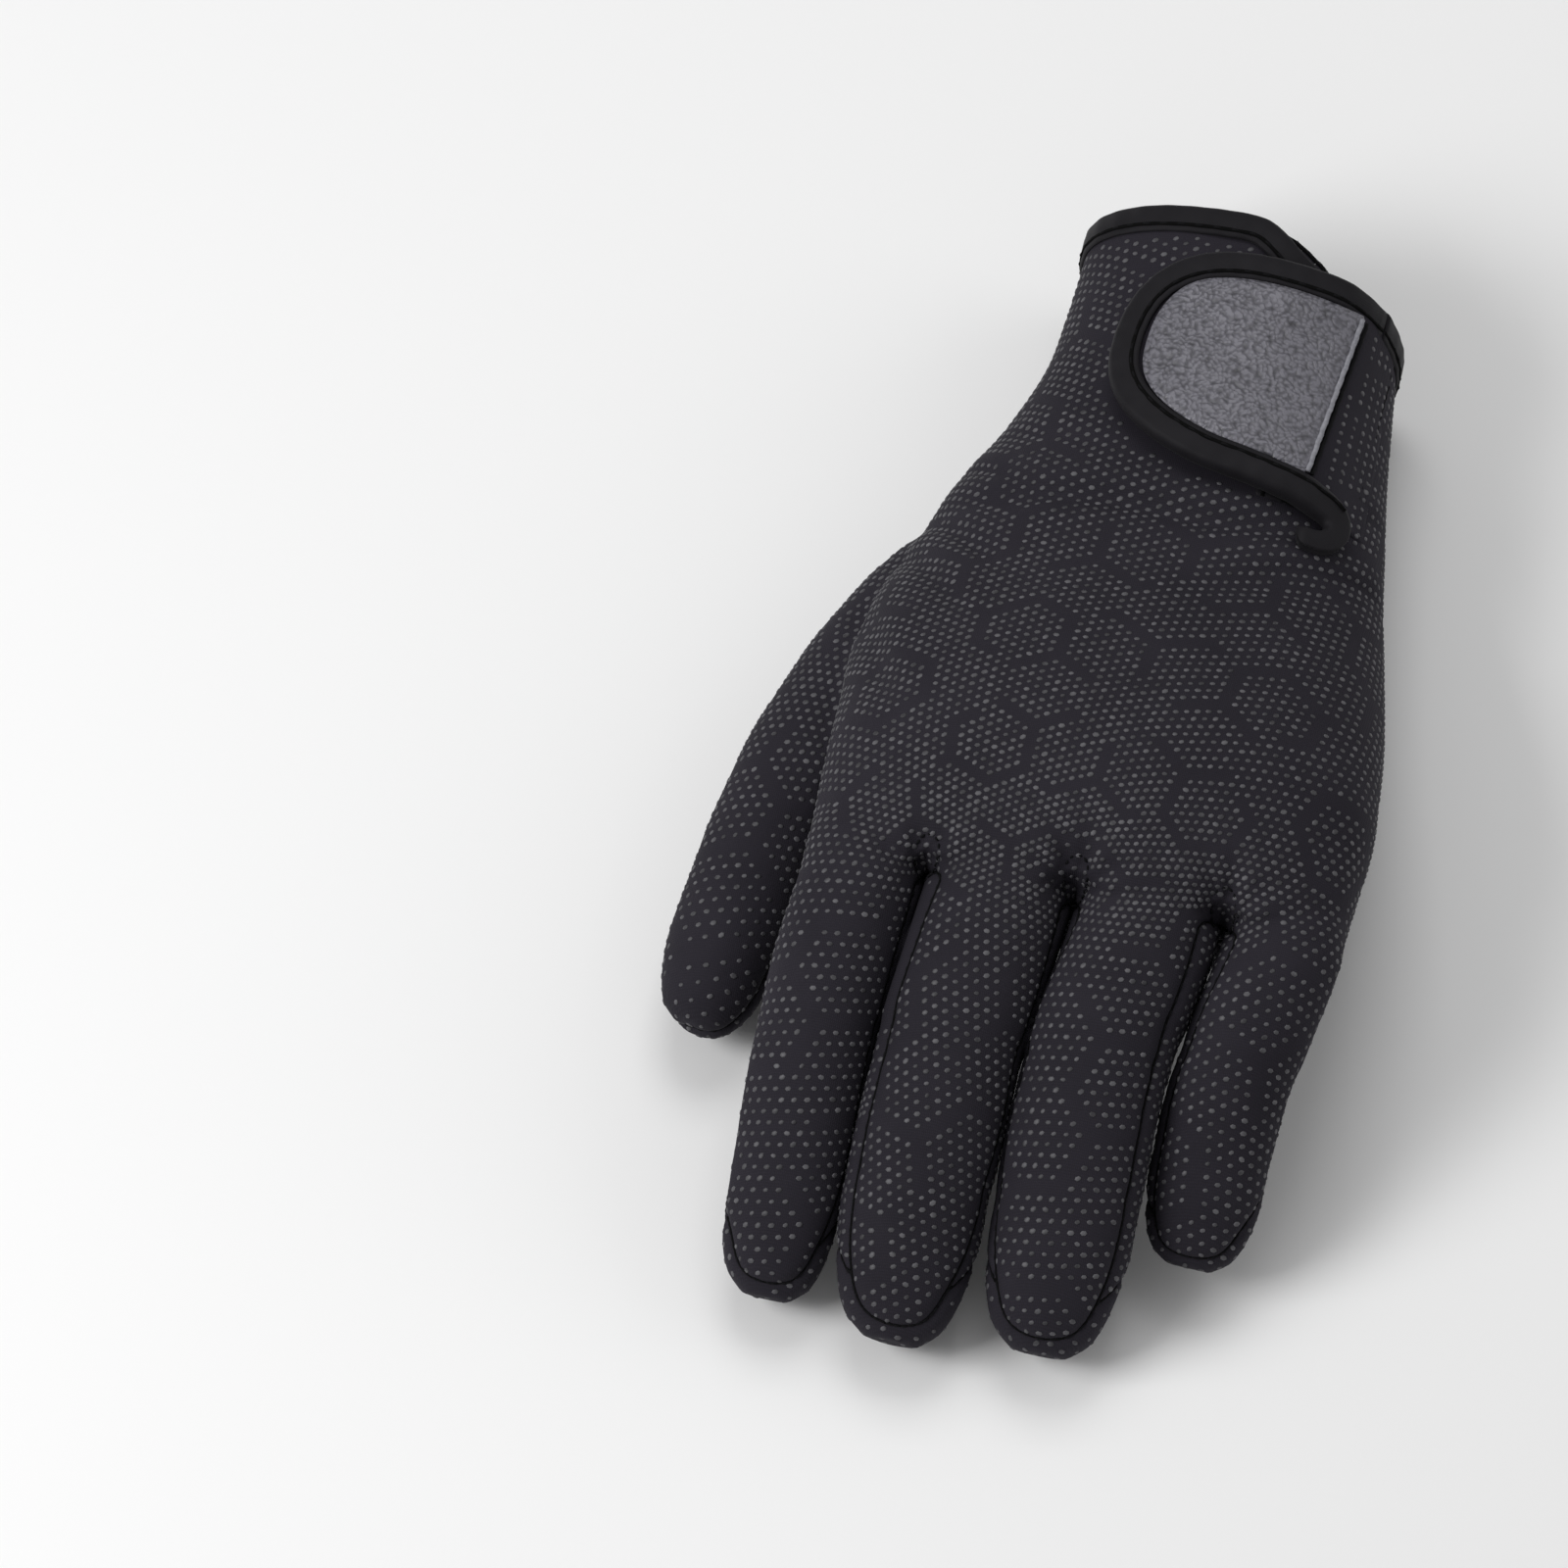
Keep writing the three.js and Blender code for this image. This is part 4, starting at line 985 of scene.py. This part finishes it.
def tab_path():
    """Along the tab's edge and round the slit's foot in a curl."""
    edge = tab_edge()
    edge = edge[np.argmax(edge[:, 0] < BINDING_MEET - 0.05):]
    turn = np.linspace(0, math.pi, 24)
    cx = SLIT_RIGHT - 1.2 * CURL_RADIUS
    tight = 0.72 * CURL_RADIUS
    curl = np.stack([cx + tight * np.sin(turn), TAB_BOTTOM - tight * (1 - np.cos(turn))], 1)
    low = TAB_BOTTOM - 1.95 * tight
    tail = np.linspace((cx - 0.8, low), (cx - CURL_RADIUS, low), 6)
    x, y = smooth_run(resample(np.concatenate([edge, curl, tail]), 0.7), 4).T
    on_cloth = tab_under(x) + WALL / 2
    on_tab = np.where(y > TAB_MIDDLE, on_cloth, np.maximum(on_cloth, RESTING))
    over = np.where(y > TAB_BOTTOM - 1, on_tab, RESTING)
    return np.split(smooth_run(on_hand(angle_at(x, y, over), y, over)[::-1], 4), 2, 1)


# Materials

def material(name, colour, roughness, **more):
    """A material, its nodes and its shader. In the names of inputs _ stands for a blank."""
    made = bpy.data.materials.new(name)
    made.use_nodes = True
    shader = made.node_tree.nodes["Principled BSDF"]
    for key, value in {"Base_Color": (*colour, 1), "Roughness": roughness, **more}.items():
        shader.inputs[key.replace("_", " ")].default_value = value
    return made, made.node_tree, shader


def feed(tree, place, value):
    """Sets an input, or links it where the value is another node's output."""
    if isinstance(value, bpy.types.NodeSocket):
        tree.links.new(value, place)
    else:
        place.default_value = value


def add(tree, kind, **settings):
    node = tree.nodes.new("ShaderNode" + kind)
    for key, value in settings.items():
        name = key.replace("_", " ")
        if name in node.inputs.keys():
            feed(tree, node.inputs[name], value)
        else:
            setattr(node, key, value)
    return node


def texture(tree, kind, place=None, result="Fac", **settings):
    """A texture's result over the places on a piece, or over the places given."""
    place = place or add(tree, "TexCoord").outputs["Object"]
    return add(tree, "Tex" + kind, Vector=place, **settings).outputs[result]


def figure(tree, operation, *values, kind="Math"):
    """What an operation makes of numbers and other nodes' outputs."""
    node = add(tree, kind, operation=operation)
    for place, value in zip(node.inputs, values):
        feed(tree, place, value)
    return node.outputs[0]


def mixed_colour(tree, shader, fac, low, high, span=(0.0, 1.0)):
    """The base colour as a mix of two, between two values of a factor."""
    ramp = add(tree, "ValToRGB", Fac=fac)
    for stop, colour, at in zip(ramp.color_ramp.elements, (low, high), span):
        stop.color = (*colour, 1)
        stop.position = at
    tree.links.new(ramp.outputs["Color"], shader.inputs["Base Color"])


def bump(tree, shader, height, strength, distance):
    node = add(tree, "Bump", Strength=strength, Distance=distance, Height=height)
    tree.links.new(node.outputs["Normal"], shader.inputs["Normal"])


def knit_material(name, dark, light, sheen):
    """Fine knit laminated on foam: tiny loops in columns, with soft uneven colour."""
    made, tree, shader = material(name, dark, 0.82, Sheen_Weight=sheen, Sheen_Roughness=0.55,
                                  Sheen_Tint=(0.55, 0.52, 0.62, 1), Specular_IOR_Level=0.1)
    rib = texture(tree, "Wave", Scale=900.0, Distortion=1.2, bands_direction="X")
    loops = texture(tree, "Wave", Scale=700.0, Distortion=1.6, bands_direction="Y")
    cloud = texture(tree, "Noise", Scale=55.0, Detail=4.0)
    grain = texture(tree, "Noise", Scale=2600.0, Detail=2.0)
    height = figure(tree, "ADD", figure(tree, "MULTIPLY", rib, loops), grain)
    blend = figure(tree, "MULTIPLY_ADD", height, 0.35, figure(tree, "MULTIPLY", cloud, 0.75))
    mixed_colour(tree, shader, blend, dark, light)
    bump(tree, shader, height, 0.35, 0.00012)
    return made


def dot_material():
    made, tree, shader = material("printed dots", (0.1, 0.1, 0.11), 0.5, Specular_IOR_Level=0.25)
    noise = texture(tree, "Noise", Scale=420.0, Detail=1.0)
    mixed_colour(tree, shader, noise, (0.035, 0.034, 0.038), (0.105, 0.103, 0.112), (0.3, 0.7))
    return made


def tape_material():
    made, tree, shader = material("binding tape", (0.012, 0.011, 0.013), 0.6, Sheen_Weight=0.02,
                                  Sheen_Roughness=0.5, Specular_IOR_Level=0.12)
    fine = texture(tree, "Wave", Scale=1300.0, Distortion=0.8, bands_direction="DIAGONAL")
    cloud = texture(tree, "Noise", Scale=160.0, Detail=3.0)
    mixed_colour(tree, shader, cloud, (0.0065, 0.006, 0.0074), (0.0145, 0.0135, 0.0162))
    bump(tree, shader, fine, 0.2, 0.00008)
    return made


def leather_material():
    """Pebbled grey leather: painted shade darkens the pits between the pebbles and a painted highlight
    lightens their crowns, over a random mottle.
    """
    made, tree, shader = material("grey leather", (0.12, 0.12, 0.14), 0.42, Specular_IOR_Level=0.55)
    place = add(tree, "TexCoord").outputs["Object"]
    warp = texture(tree, "Noise", place, "Color", Scale=260.0, Detail=2.0)
    bent = figure(tree, "MULTIPLY_ADD", warp, (0.0022,) * 3, place, kind="VectorMath")
    pebble = texture(tree, "Voronoi", bent, "Distance", feature="SMOOTH_F1", Scale=1200.0, Smoothness=0.55)
    big = texture(tree, "Noise", bent, Scale=90.0, Detail=4.0)
    crown = add(tree, "MapRange", Value=pebble, From_Min=0.35, From_Max=0.95, To_Min=1.0, To_Max=0.0)
    crown = crown.outputs[0]
    # Painted highlight on the pebbles' crowns and painted shade in the pits between them, with a random
    # mottle from big.
    pebble_shade_and_mottle = figure(tree, "MULTIPLY_ADD", crown, 0.8, figure(tree, "MULTIPLY", big, 0.25))
    mixed_colour(tree, shader, pebble_shade_and_mottle, (0.013, 0.0125, 0.0155), (0.155, 0.151, 0.177))
    bump(tree, shader, figure(tree, "ADD", crown, big), 0.9, 0.0003)
    return made


def plain_material(name, low, high, roughness, scale):
    made, tree, shader = material(name, low, roughness, Specular_IOR_Level=0.08)
    noise = texture(tree, "Noise", Scale=scale, Detail=3.0)
    mixed_colour(tree, shader, noise, low, high)
    bump(tree, shader, noise, 0.25, 0.0001)
    return made


CLOTH = knit_material("neoprene knit", (0.010, 0.009, 0.0125), (0.026, 0.0235, 0.031), 0.02)
LINING = knit_material("lining knit", (0.008, 0.0075, 0.009), (0.018, 0.017, 0.02), 0.02)
DOTS = dot_material()
TAPE_LOOK = tape_material()
LEATHER = leather_material()
# The raw edge's light grey is a painted highlight on the cut thickness of the leather.
RAW_EDGE_HIGHLIGHT = plain_material("raw leather edge with painted highlight", (0.13, 0.13, 0.15), (0.36, 0.36, 0.39), 0.9, 1100.0)
# Black thread, also used for the dark line of painted shadow beside the patch's raw edge.
THREAD_AND_SHADOW = plain_material("black thread and painted shadow", (0.003, 0.003, 0.0035), (0.009, 0.009, 0.01), 0.8, 2500.0)
# Near black rods that stand for the shade in seam and tape grooves.
SEAM_SHADE = plain_material("seam shadow", (0.002, 0.002, 0.002), (0.004, 0.004, 0.004), 0.95, 2500.0)
HOOKS = plain_material("hook and loop", (0.004, 0.004, 0.005), (0.02, 0.02, 0.022), 0.95, 1500.0)


def add_piece(name, made, looks, nodes=(), kind=None):
    """A piece from its points and faces, with its looks and the nodes that it replaces."""
    obj = mesh_object(name, *made)
    for look in looks:
        obj.data.materials.append(look)
    if kind is not None:
        obj.data.polygons.foreach_set("material_index", kind)
    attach(obj, "root")
    if nodes:
        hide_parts(*nodes)


# Making the glove

PANELS = ["back_panel", "palm_panel", "fourchette_index_middle", "fourchette_middle_ring",
          "fourchette_ring_little", "thumb_panel"]


def make_panels():
    """The outer skin of each panel: its points, the ways out of it and its triangles."""
    points, triangles, edges = joined_skin()
    normals = normals_of(points, triangles)
    points = points + normals * crease(points, normals)[:, None]
    points[:, 2] = np.maximum(points[:, 2], 0)
    points, label, upper, lower = label_panels(points, triangles, edges)
    groove = np.exp(-(np.minimum(np.abs(upper), np.abs(lower)) ** 2))
    groove = GROOVE_DEPTH * groove * smooth(PALM_LENGTH * 0.99, PALM_LENGTH * 0.9, points[:, 1])
    points = points - normals_of(points, triangles) * groove[:, None]
    points[:, 2] = np.maximum(points[:, 2], 0)
    keep = kept_cloth(points[triangles].mean(1))
    points[:, 0] -= drawn_together(points)
    normals = normals_of(points, triangles)
    bodies = [main_body(triangles[(label == i) & keep], len(points)) for i in range(len(PANELS))]
    return {name: compact(points, normals, body) for name, body in zip(PANELS, bodies)}


def sew_seams(border_of):
    """A dark line of painted shade in the groove between the panels, with threads over it."""
    for name, (points, normals, border) in border_of.items():
        lines, threads = [], []
        for run in chains(border):
            path = smooth_run(points[run], 3)
            near_cuff = path[:, 1] > cuff_line(path[:, 0]) - BINDING_WIDTH
            if near_cuff.mean() > 0.5:
                continue
            both = resample(np.concatenate([path, smooth_run(normals[run], 6)], 1), 1.0)
            path, way = np.split(both, 2, 1)
            lines.append(loft(sweep(path, way, oval(*SEAM_LINE, 6))[0]))
            threads.append(stitch_mesh(path, way, pitch=2.7, length=2.0, radius=0.24, sink=-0.1))
        add_piece(name + "_seam_line", joined(lines), [SEAM_SHADE])
        add_piece(name + "_stitches", joined(threads), [THREAD_AND_SHADOW])


def sew_crotches(points, normals):
    """A little ring of stitches where two fingers part."""
    turn = np.linspace(0, 2 * math.pi, 17)
    top = points[:, 2] > 0.6 * ARCH_HEIGHT
    points, normals = points[top], normals[top]
    parts = []
    for cx in crotch_places():
        places = np.stack([np.cos(turn), np.sin(turn)], 1) * CROTCH_RING + (cx, CROTCH_RING_Y)
        nearest = [np.argmin(np.hypot(*(points[:, :2] - place).T)) for place in places]
        path = smooth_run(points[nearest], 2)
        path[:, :2] = places
        parts.append(stitch_mesh(path, normals[nearest], pitch=1.5, length=1.15, radius=0.22, sink=-0.15))
    add_piece("finger_crotch_stitches", joined(parts), [THREAD_AND_SHADOW])


def make_cloth():
    """The panels with their dots, and the seams between them."""
    borders = {}
    for name, (points, normals, triangles) in make_panels().items():
        flat = flat_pattern(name, points, triangles)
        phase = flat[np.argmin(np.hypot(*(points[:, :2] - DOT_CENTRE).T))]
        solid, faces, kind, border = thicken(points, normals, triangles, WALL)
        if name == "back_panel":
            tab = make_tab_cloth()
            tab_solid, tab_faces = tab["mesh"]
            faces = np.concatenate([faces, tab_faces + len(solid)])
            kind = np.concatenate([kind, tab["kind"]])
            solid = np.concatenate([solid, tab_solid])
        add_piece(name + "_cloth", (solid, faces), [CLOTH, LINING], [name], kind)
        at, way = lift(dot_places(flat.min(0), flat.max(0), phase), flat, points, normals, triangles)
        clear = clear_of_edges(at, points, border)
        dots = [dots_mesh(at[clear], way[clear])]
        if name == "back_panel":
            dots.append(dots_mesh(*tab_dots(*tab["outer"])))
        add_piece(name + "_dots", joined(dots), [DOTS])
        borders[name] = (points, normals, border)
    sew_seams({name: borders[name] for name in ("back_panel", "palm_panel")})
    sew_crotches(*borders["back_panel"][:2])


def apart(at):
    """Marks the places that keep their distance from those before them."""
    taken = {}
    clear = np.zeros(len(at), bool)
    for i, cell in enumerate(np.floor(at / DOT_APART).astype(int).tolist()):
        around = [taken.get((cell[0] + a, cell[1] + b, cell[2] + c)) for a, b, c in AROUND]
        if all(other is None or np.linalg.norm(at[i] - other) > DOT_APART for other in around):
            taken[tuple(cell)] = at[i]
            clear[i] = True
    return clear


def clear_of_edges(at, points, border):
    """Dots keep off the seams, the tape, the cloth under the tab and each other."""
    rim = points[np.unique(border)]
    near = np.zeros(len(at), bool)
    for start in range(0, len(at), 400):
        block = at[start:start + 400]
        reach = ((block[:, None] - rim[None]) ** 2).sum(2).min(1)
        near[start:start + 400] = reach < 0.75**2
    edge = at[:, 1] > cuff_line(at[:, 0]) - BINDING_WIDTH
    covered = (outline_side(at[:, 0], at[:, 1], -1.5) > 0) & (at[:, 2] > 0.4 * ARCH_HEIGHT) & (at[:, 0] < 29)
    return apart(at) & ~(near | edge | covered)


def make_tab_cloth():
    def keep(x, y):
        return outline_side(x, y, 0.4)

    return wrist_sheet((TAB_NOSE - 3, SLIT_RIGHT + 5), (TAB_BOTTOM - 4, TAB_TOP + 3), 0.8, keep,
                       tab_under, lambda x: tab_under(x) + WALL)


def patch_side(y):
    """The patch's straight right edge."""
    return PATCH_EDGE + PATCH_EDGE_LEAN * (y - TAB_MIDDLE) / TAB_WIDTH


def tab_dots(flat, top, normals, triangles):
    """The tab's dots run on from the hand's, right of the patch."""
    places = dot_places(flat.min(0), flat.max(0), DOT_CENTRE)
    right = places[:, 0] > patch_side(places[:, 1]) + 1.3
    clear = outline_side(*places.T, BINDING_WIDTH - 0.6) > 0
    return lift(places[right & clear], flat, top, normals, triangles)


def make_patch():
    """The leather facing of the tab, turned down at its rim, with a raw edge on its right that is painted
    light as a highlight.
    """
    def keep(x, y):
        return np.minimum(outline_side(x, y, PATCH_INSET), patch_side(y) - x)

    def ripple(flat):
        x, y = flat.T
        wave = 0.12 * np.sin(x / 3.1 + y / 5.3) * np.sin(y / 3.7)
        return wave - 0.35 * (1 - smooth(0, 1.6, keep(x, y)))

    patch = wrist_sheet((TAB_NOSE - 3, SLIT_RIGHT), (TAB_BOTTOM, TAB_TOP), 0.6, keep,
                        lambda x: 0 * x + PATCH_BASE, lambda x: 0 * x + PATCH_BASE + PATCH_THICKNESS, ripple)
    add_piece("tab_patch_leather", patch["mesh"], [LEATHER], ["tab_patch"])
    y = np.linspace(TAB_BOTTOM + PATCH_INSET + 0.9, TAB_TOP - PATCH_INSET - 1.3, 60)
    # The shadow line is a dark rod of painted shadow just right of the patch's raw edge.
    for name, shift, rise, wide, high, look in (
            ("tab_patch_edge", -0.1, PATCH_THICKNESS - 0.35, 0.5, 0.4, RAW_EDGE_HIGHLIGHT),
            ("tab_patch_shadow_line", 0.75, 0.05, 0.38, 0.3, THREAD_AND_SHADOW)):
        x = patch_side(y) + shift + 0.05 * np.sin(y * 1.9) + 0.03 * np.sin(y * 4.3)
        off = PATCH_BASE + rise
        path, way = np.split(on_hand(angle_at(x, y, off), y, off), 2, 1)
        add_piece(name, loft(sweep(path, way, oval(wide, high, 10), 0.12)[0]), [look])


def make_pad():
    """The fastener under the tab's nose."""
    left = TAB_NOSE + BINDING_WIDTH + PAD_INSET
    round_by = 3.0

    def keep(x, y):
        dx = np.abs(x - left - PAD_WIDTH / 2) - PAD_WIDTH / 2 + round_by
        dy = np.abs(y - TAB_MIDDLE) - PAD_LENGTH / 2 + round_by
        return round_by - np.hypot(np.maximum(dx, 0), np.maximum(dy, 0))

    def ripple(flat):
        return 0.12 * np.sin(flat[:, 0] * 4.4) * np.sin(flat[:, 1] * 4.4)

    far = PAD_LENGTH / 2 + 2
    pad = wrist_sheet((left - 2, left + PAD_WIDTH + 2), (TAB_MIDDLE - far, TAB_MIDDLE + far), 0.5, keep,
                      lambda x: 0 * x + CLEARANCE, lambda x: 0 * x + TAB_GAP - 0.5, ripple)
    add_piece("hook_pad_loops", pad["mesh"], [HOOKS], ["hook_pad"])


def make_binding(name, path, way, tail=0.0):
    """A folded tape along an edge, sewn near its inner edge on both sides, and slimmer towards its tail."""
    ring, out, up = sweep(path, way, tape_profile(TAPE_THICK), 0.03)
    if tail:
        run = run_along(path)
        size = (0.62 + 0.38 * smooth(0, tail, run)) * np.sqrt(np.clip(run / 1.2 + 0.05, 0, 1))
        ring = path[:, None] + (ring - path[:, None]) * size[:, None, None]
    add_piece(name + "_tape", loft(ring), [TAPE_LOOK], [name])
    inner = BINDING_WIDTH - CLEARANCE - TAPE
    threads, groove_shades = [], []
    sewn = path[:, 1] > TAB_BOTTOM - 1
    path, out, up = path[sewn], out[sewn], up[sewn]
    # Along each line of stitches runs a dark rod of painted groove shade.
    for side in (1, -1):
        line = path - out * (inner - 1.3) + up * side * (TAPE_THICK / 2 - 0.12)
        threads.append(stitch_mesh(line, up * side, pitch=3.4, length=2.3, radius=0.26))
        groove_shades.append(loft(sweep(line, up, oval(*TAPE_LINE, 6))[0]))
    for ending, parts, look in (("_stitches", threads, THREAD_AND_SHADOW), ("_seam_line", groove_shades, SEAM_SHADE)):
        points, faces = joined(parts)
        points[:, 2] = np.maximum(points[:, 2], 0)
        add_piece(name + ending, (points, faces), [look])


# Stage, light and camera

AZIMUTH = 11.5
ELEVATION = 60.0
PIXEL = 0.178
IMAGE = 1600
AIM = (0.0, 0.0, 54.0)
AIM_PIXEL = (1100.0, 905.0)
CAMERA_DISTANCE = 6000.0
SENSOR = 36.0


def look_from(azimuth, elevation):
    a, e = math.radians(azimuth), math.radians(elevation)
    back = np.array([math.sin(a) * math.cos(e), -math.cos(a) * math.cos(e), math.sin(e)])
    right = np.array([math.cos(a), math.sin(a), 0.0])
    up = np.cross(back, right)
    return right, up, back


def put(name, data, place, back):
    """An object at a place, looking against the way back."""
    obj = bpy.data.objects.new(name, data)
    obj.location = Vector(place)
    obj.rotation_euler = Vector(-back).to_track_quat("-Z", "Y").to_euler()
    bpy.context.scene.collection.objects.link(obj)
    return obj


def make_camera():
    right, up, back = look_from(AZIMUTH, ELEVATION)
    across, down = (pixel - IMAGE / 2 for pixel in AIM_PIXEL)
    target = np.array(AIM) - right * across * PIXEL + up * down * PIXEL
    data = bpy.data.cameras.new("camera")
    data.sensor_fit = "HORIZONTAL"
    data.sensor_width = SENSOR
    data.lens = SENSOR * CAMERA_DISTANCE / (IMAGE * PIXEL)
    data.clip_start = 0.05
    data.clip_end = 20.0
    place = (target + back * CAMERA_DISTANCE + CROTCH) * MM
    bpy.context.scene.camera = put("camera", data, place, back)


def make_light(name, azimuth, elevation, distance, size, power_w):
    _, _, back = look_from(azimuth, elevation)
    data = bpy.data.lights.new(name, "AREA")
    data.size = size
    data.energy = power_w
    put(name, data, back * distance, back)


def make_stage():
    size = 4.0
    mesh = bpy.data.meshes.new("floor")
    corners = [(-size, -size, 0), (size, -size, 0), (size, size, 0), (-size, size, 0)]
    mesh.from_pydata(corners, [], [[0, 1, 2, 3]])
    floor = bpy.data.objects.new("floor", mesh)
    bpy.context.scene.collection.objects.link(floor)
    mesh.materials.append(material("pale floor", (0.9, 0.9, 0.9), 0.9)[0])
    world = bpy.data.worlds.new("soft sky")
    world.use_nodes = True
    sky = world.node_tree.nodes["Background"].inputs
    sky["Color"].default_value = (1, 1, 1, 1)
    sky["Strength"].default_value = 0.325
    bpy.context.scene.world = world
    bpy.context.scene.view_settings.view_transform = "Standard"
    make_light("key", -60, 42, 1.1, 0.5, 7.0)
    make_light("fill", 110, 35, 1.3, 0.9, 2.2)
    make_light("top", 190, 62, 1.2, 0.6, 3.6)


make_camera()
make_stage()
make_cloth()
make_patch()
make_pad()
make_binding("cuff_binding", *cuff_path())
make_binding("tab_binding", *tab_path(), 14.0)

bpy.context.view_layer.update()
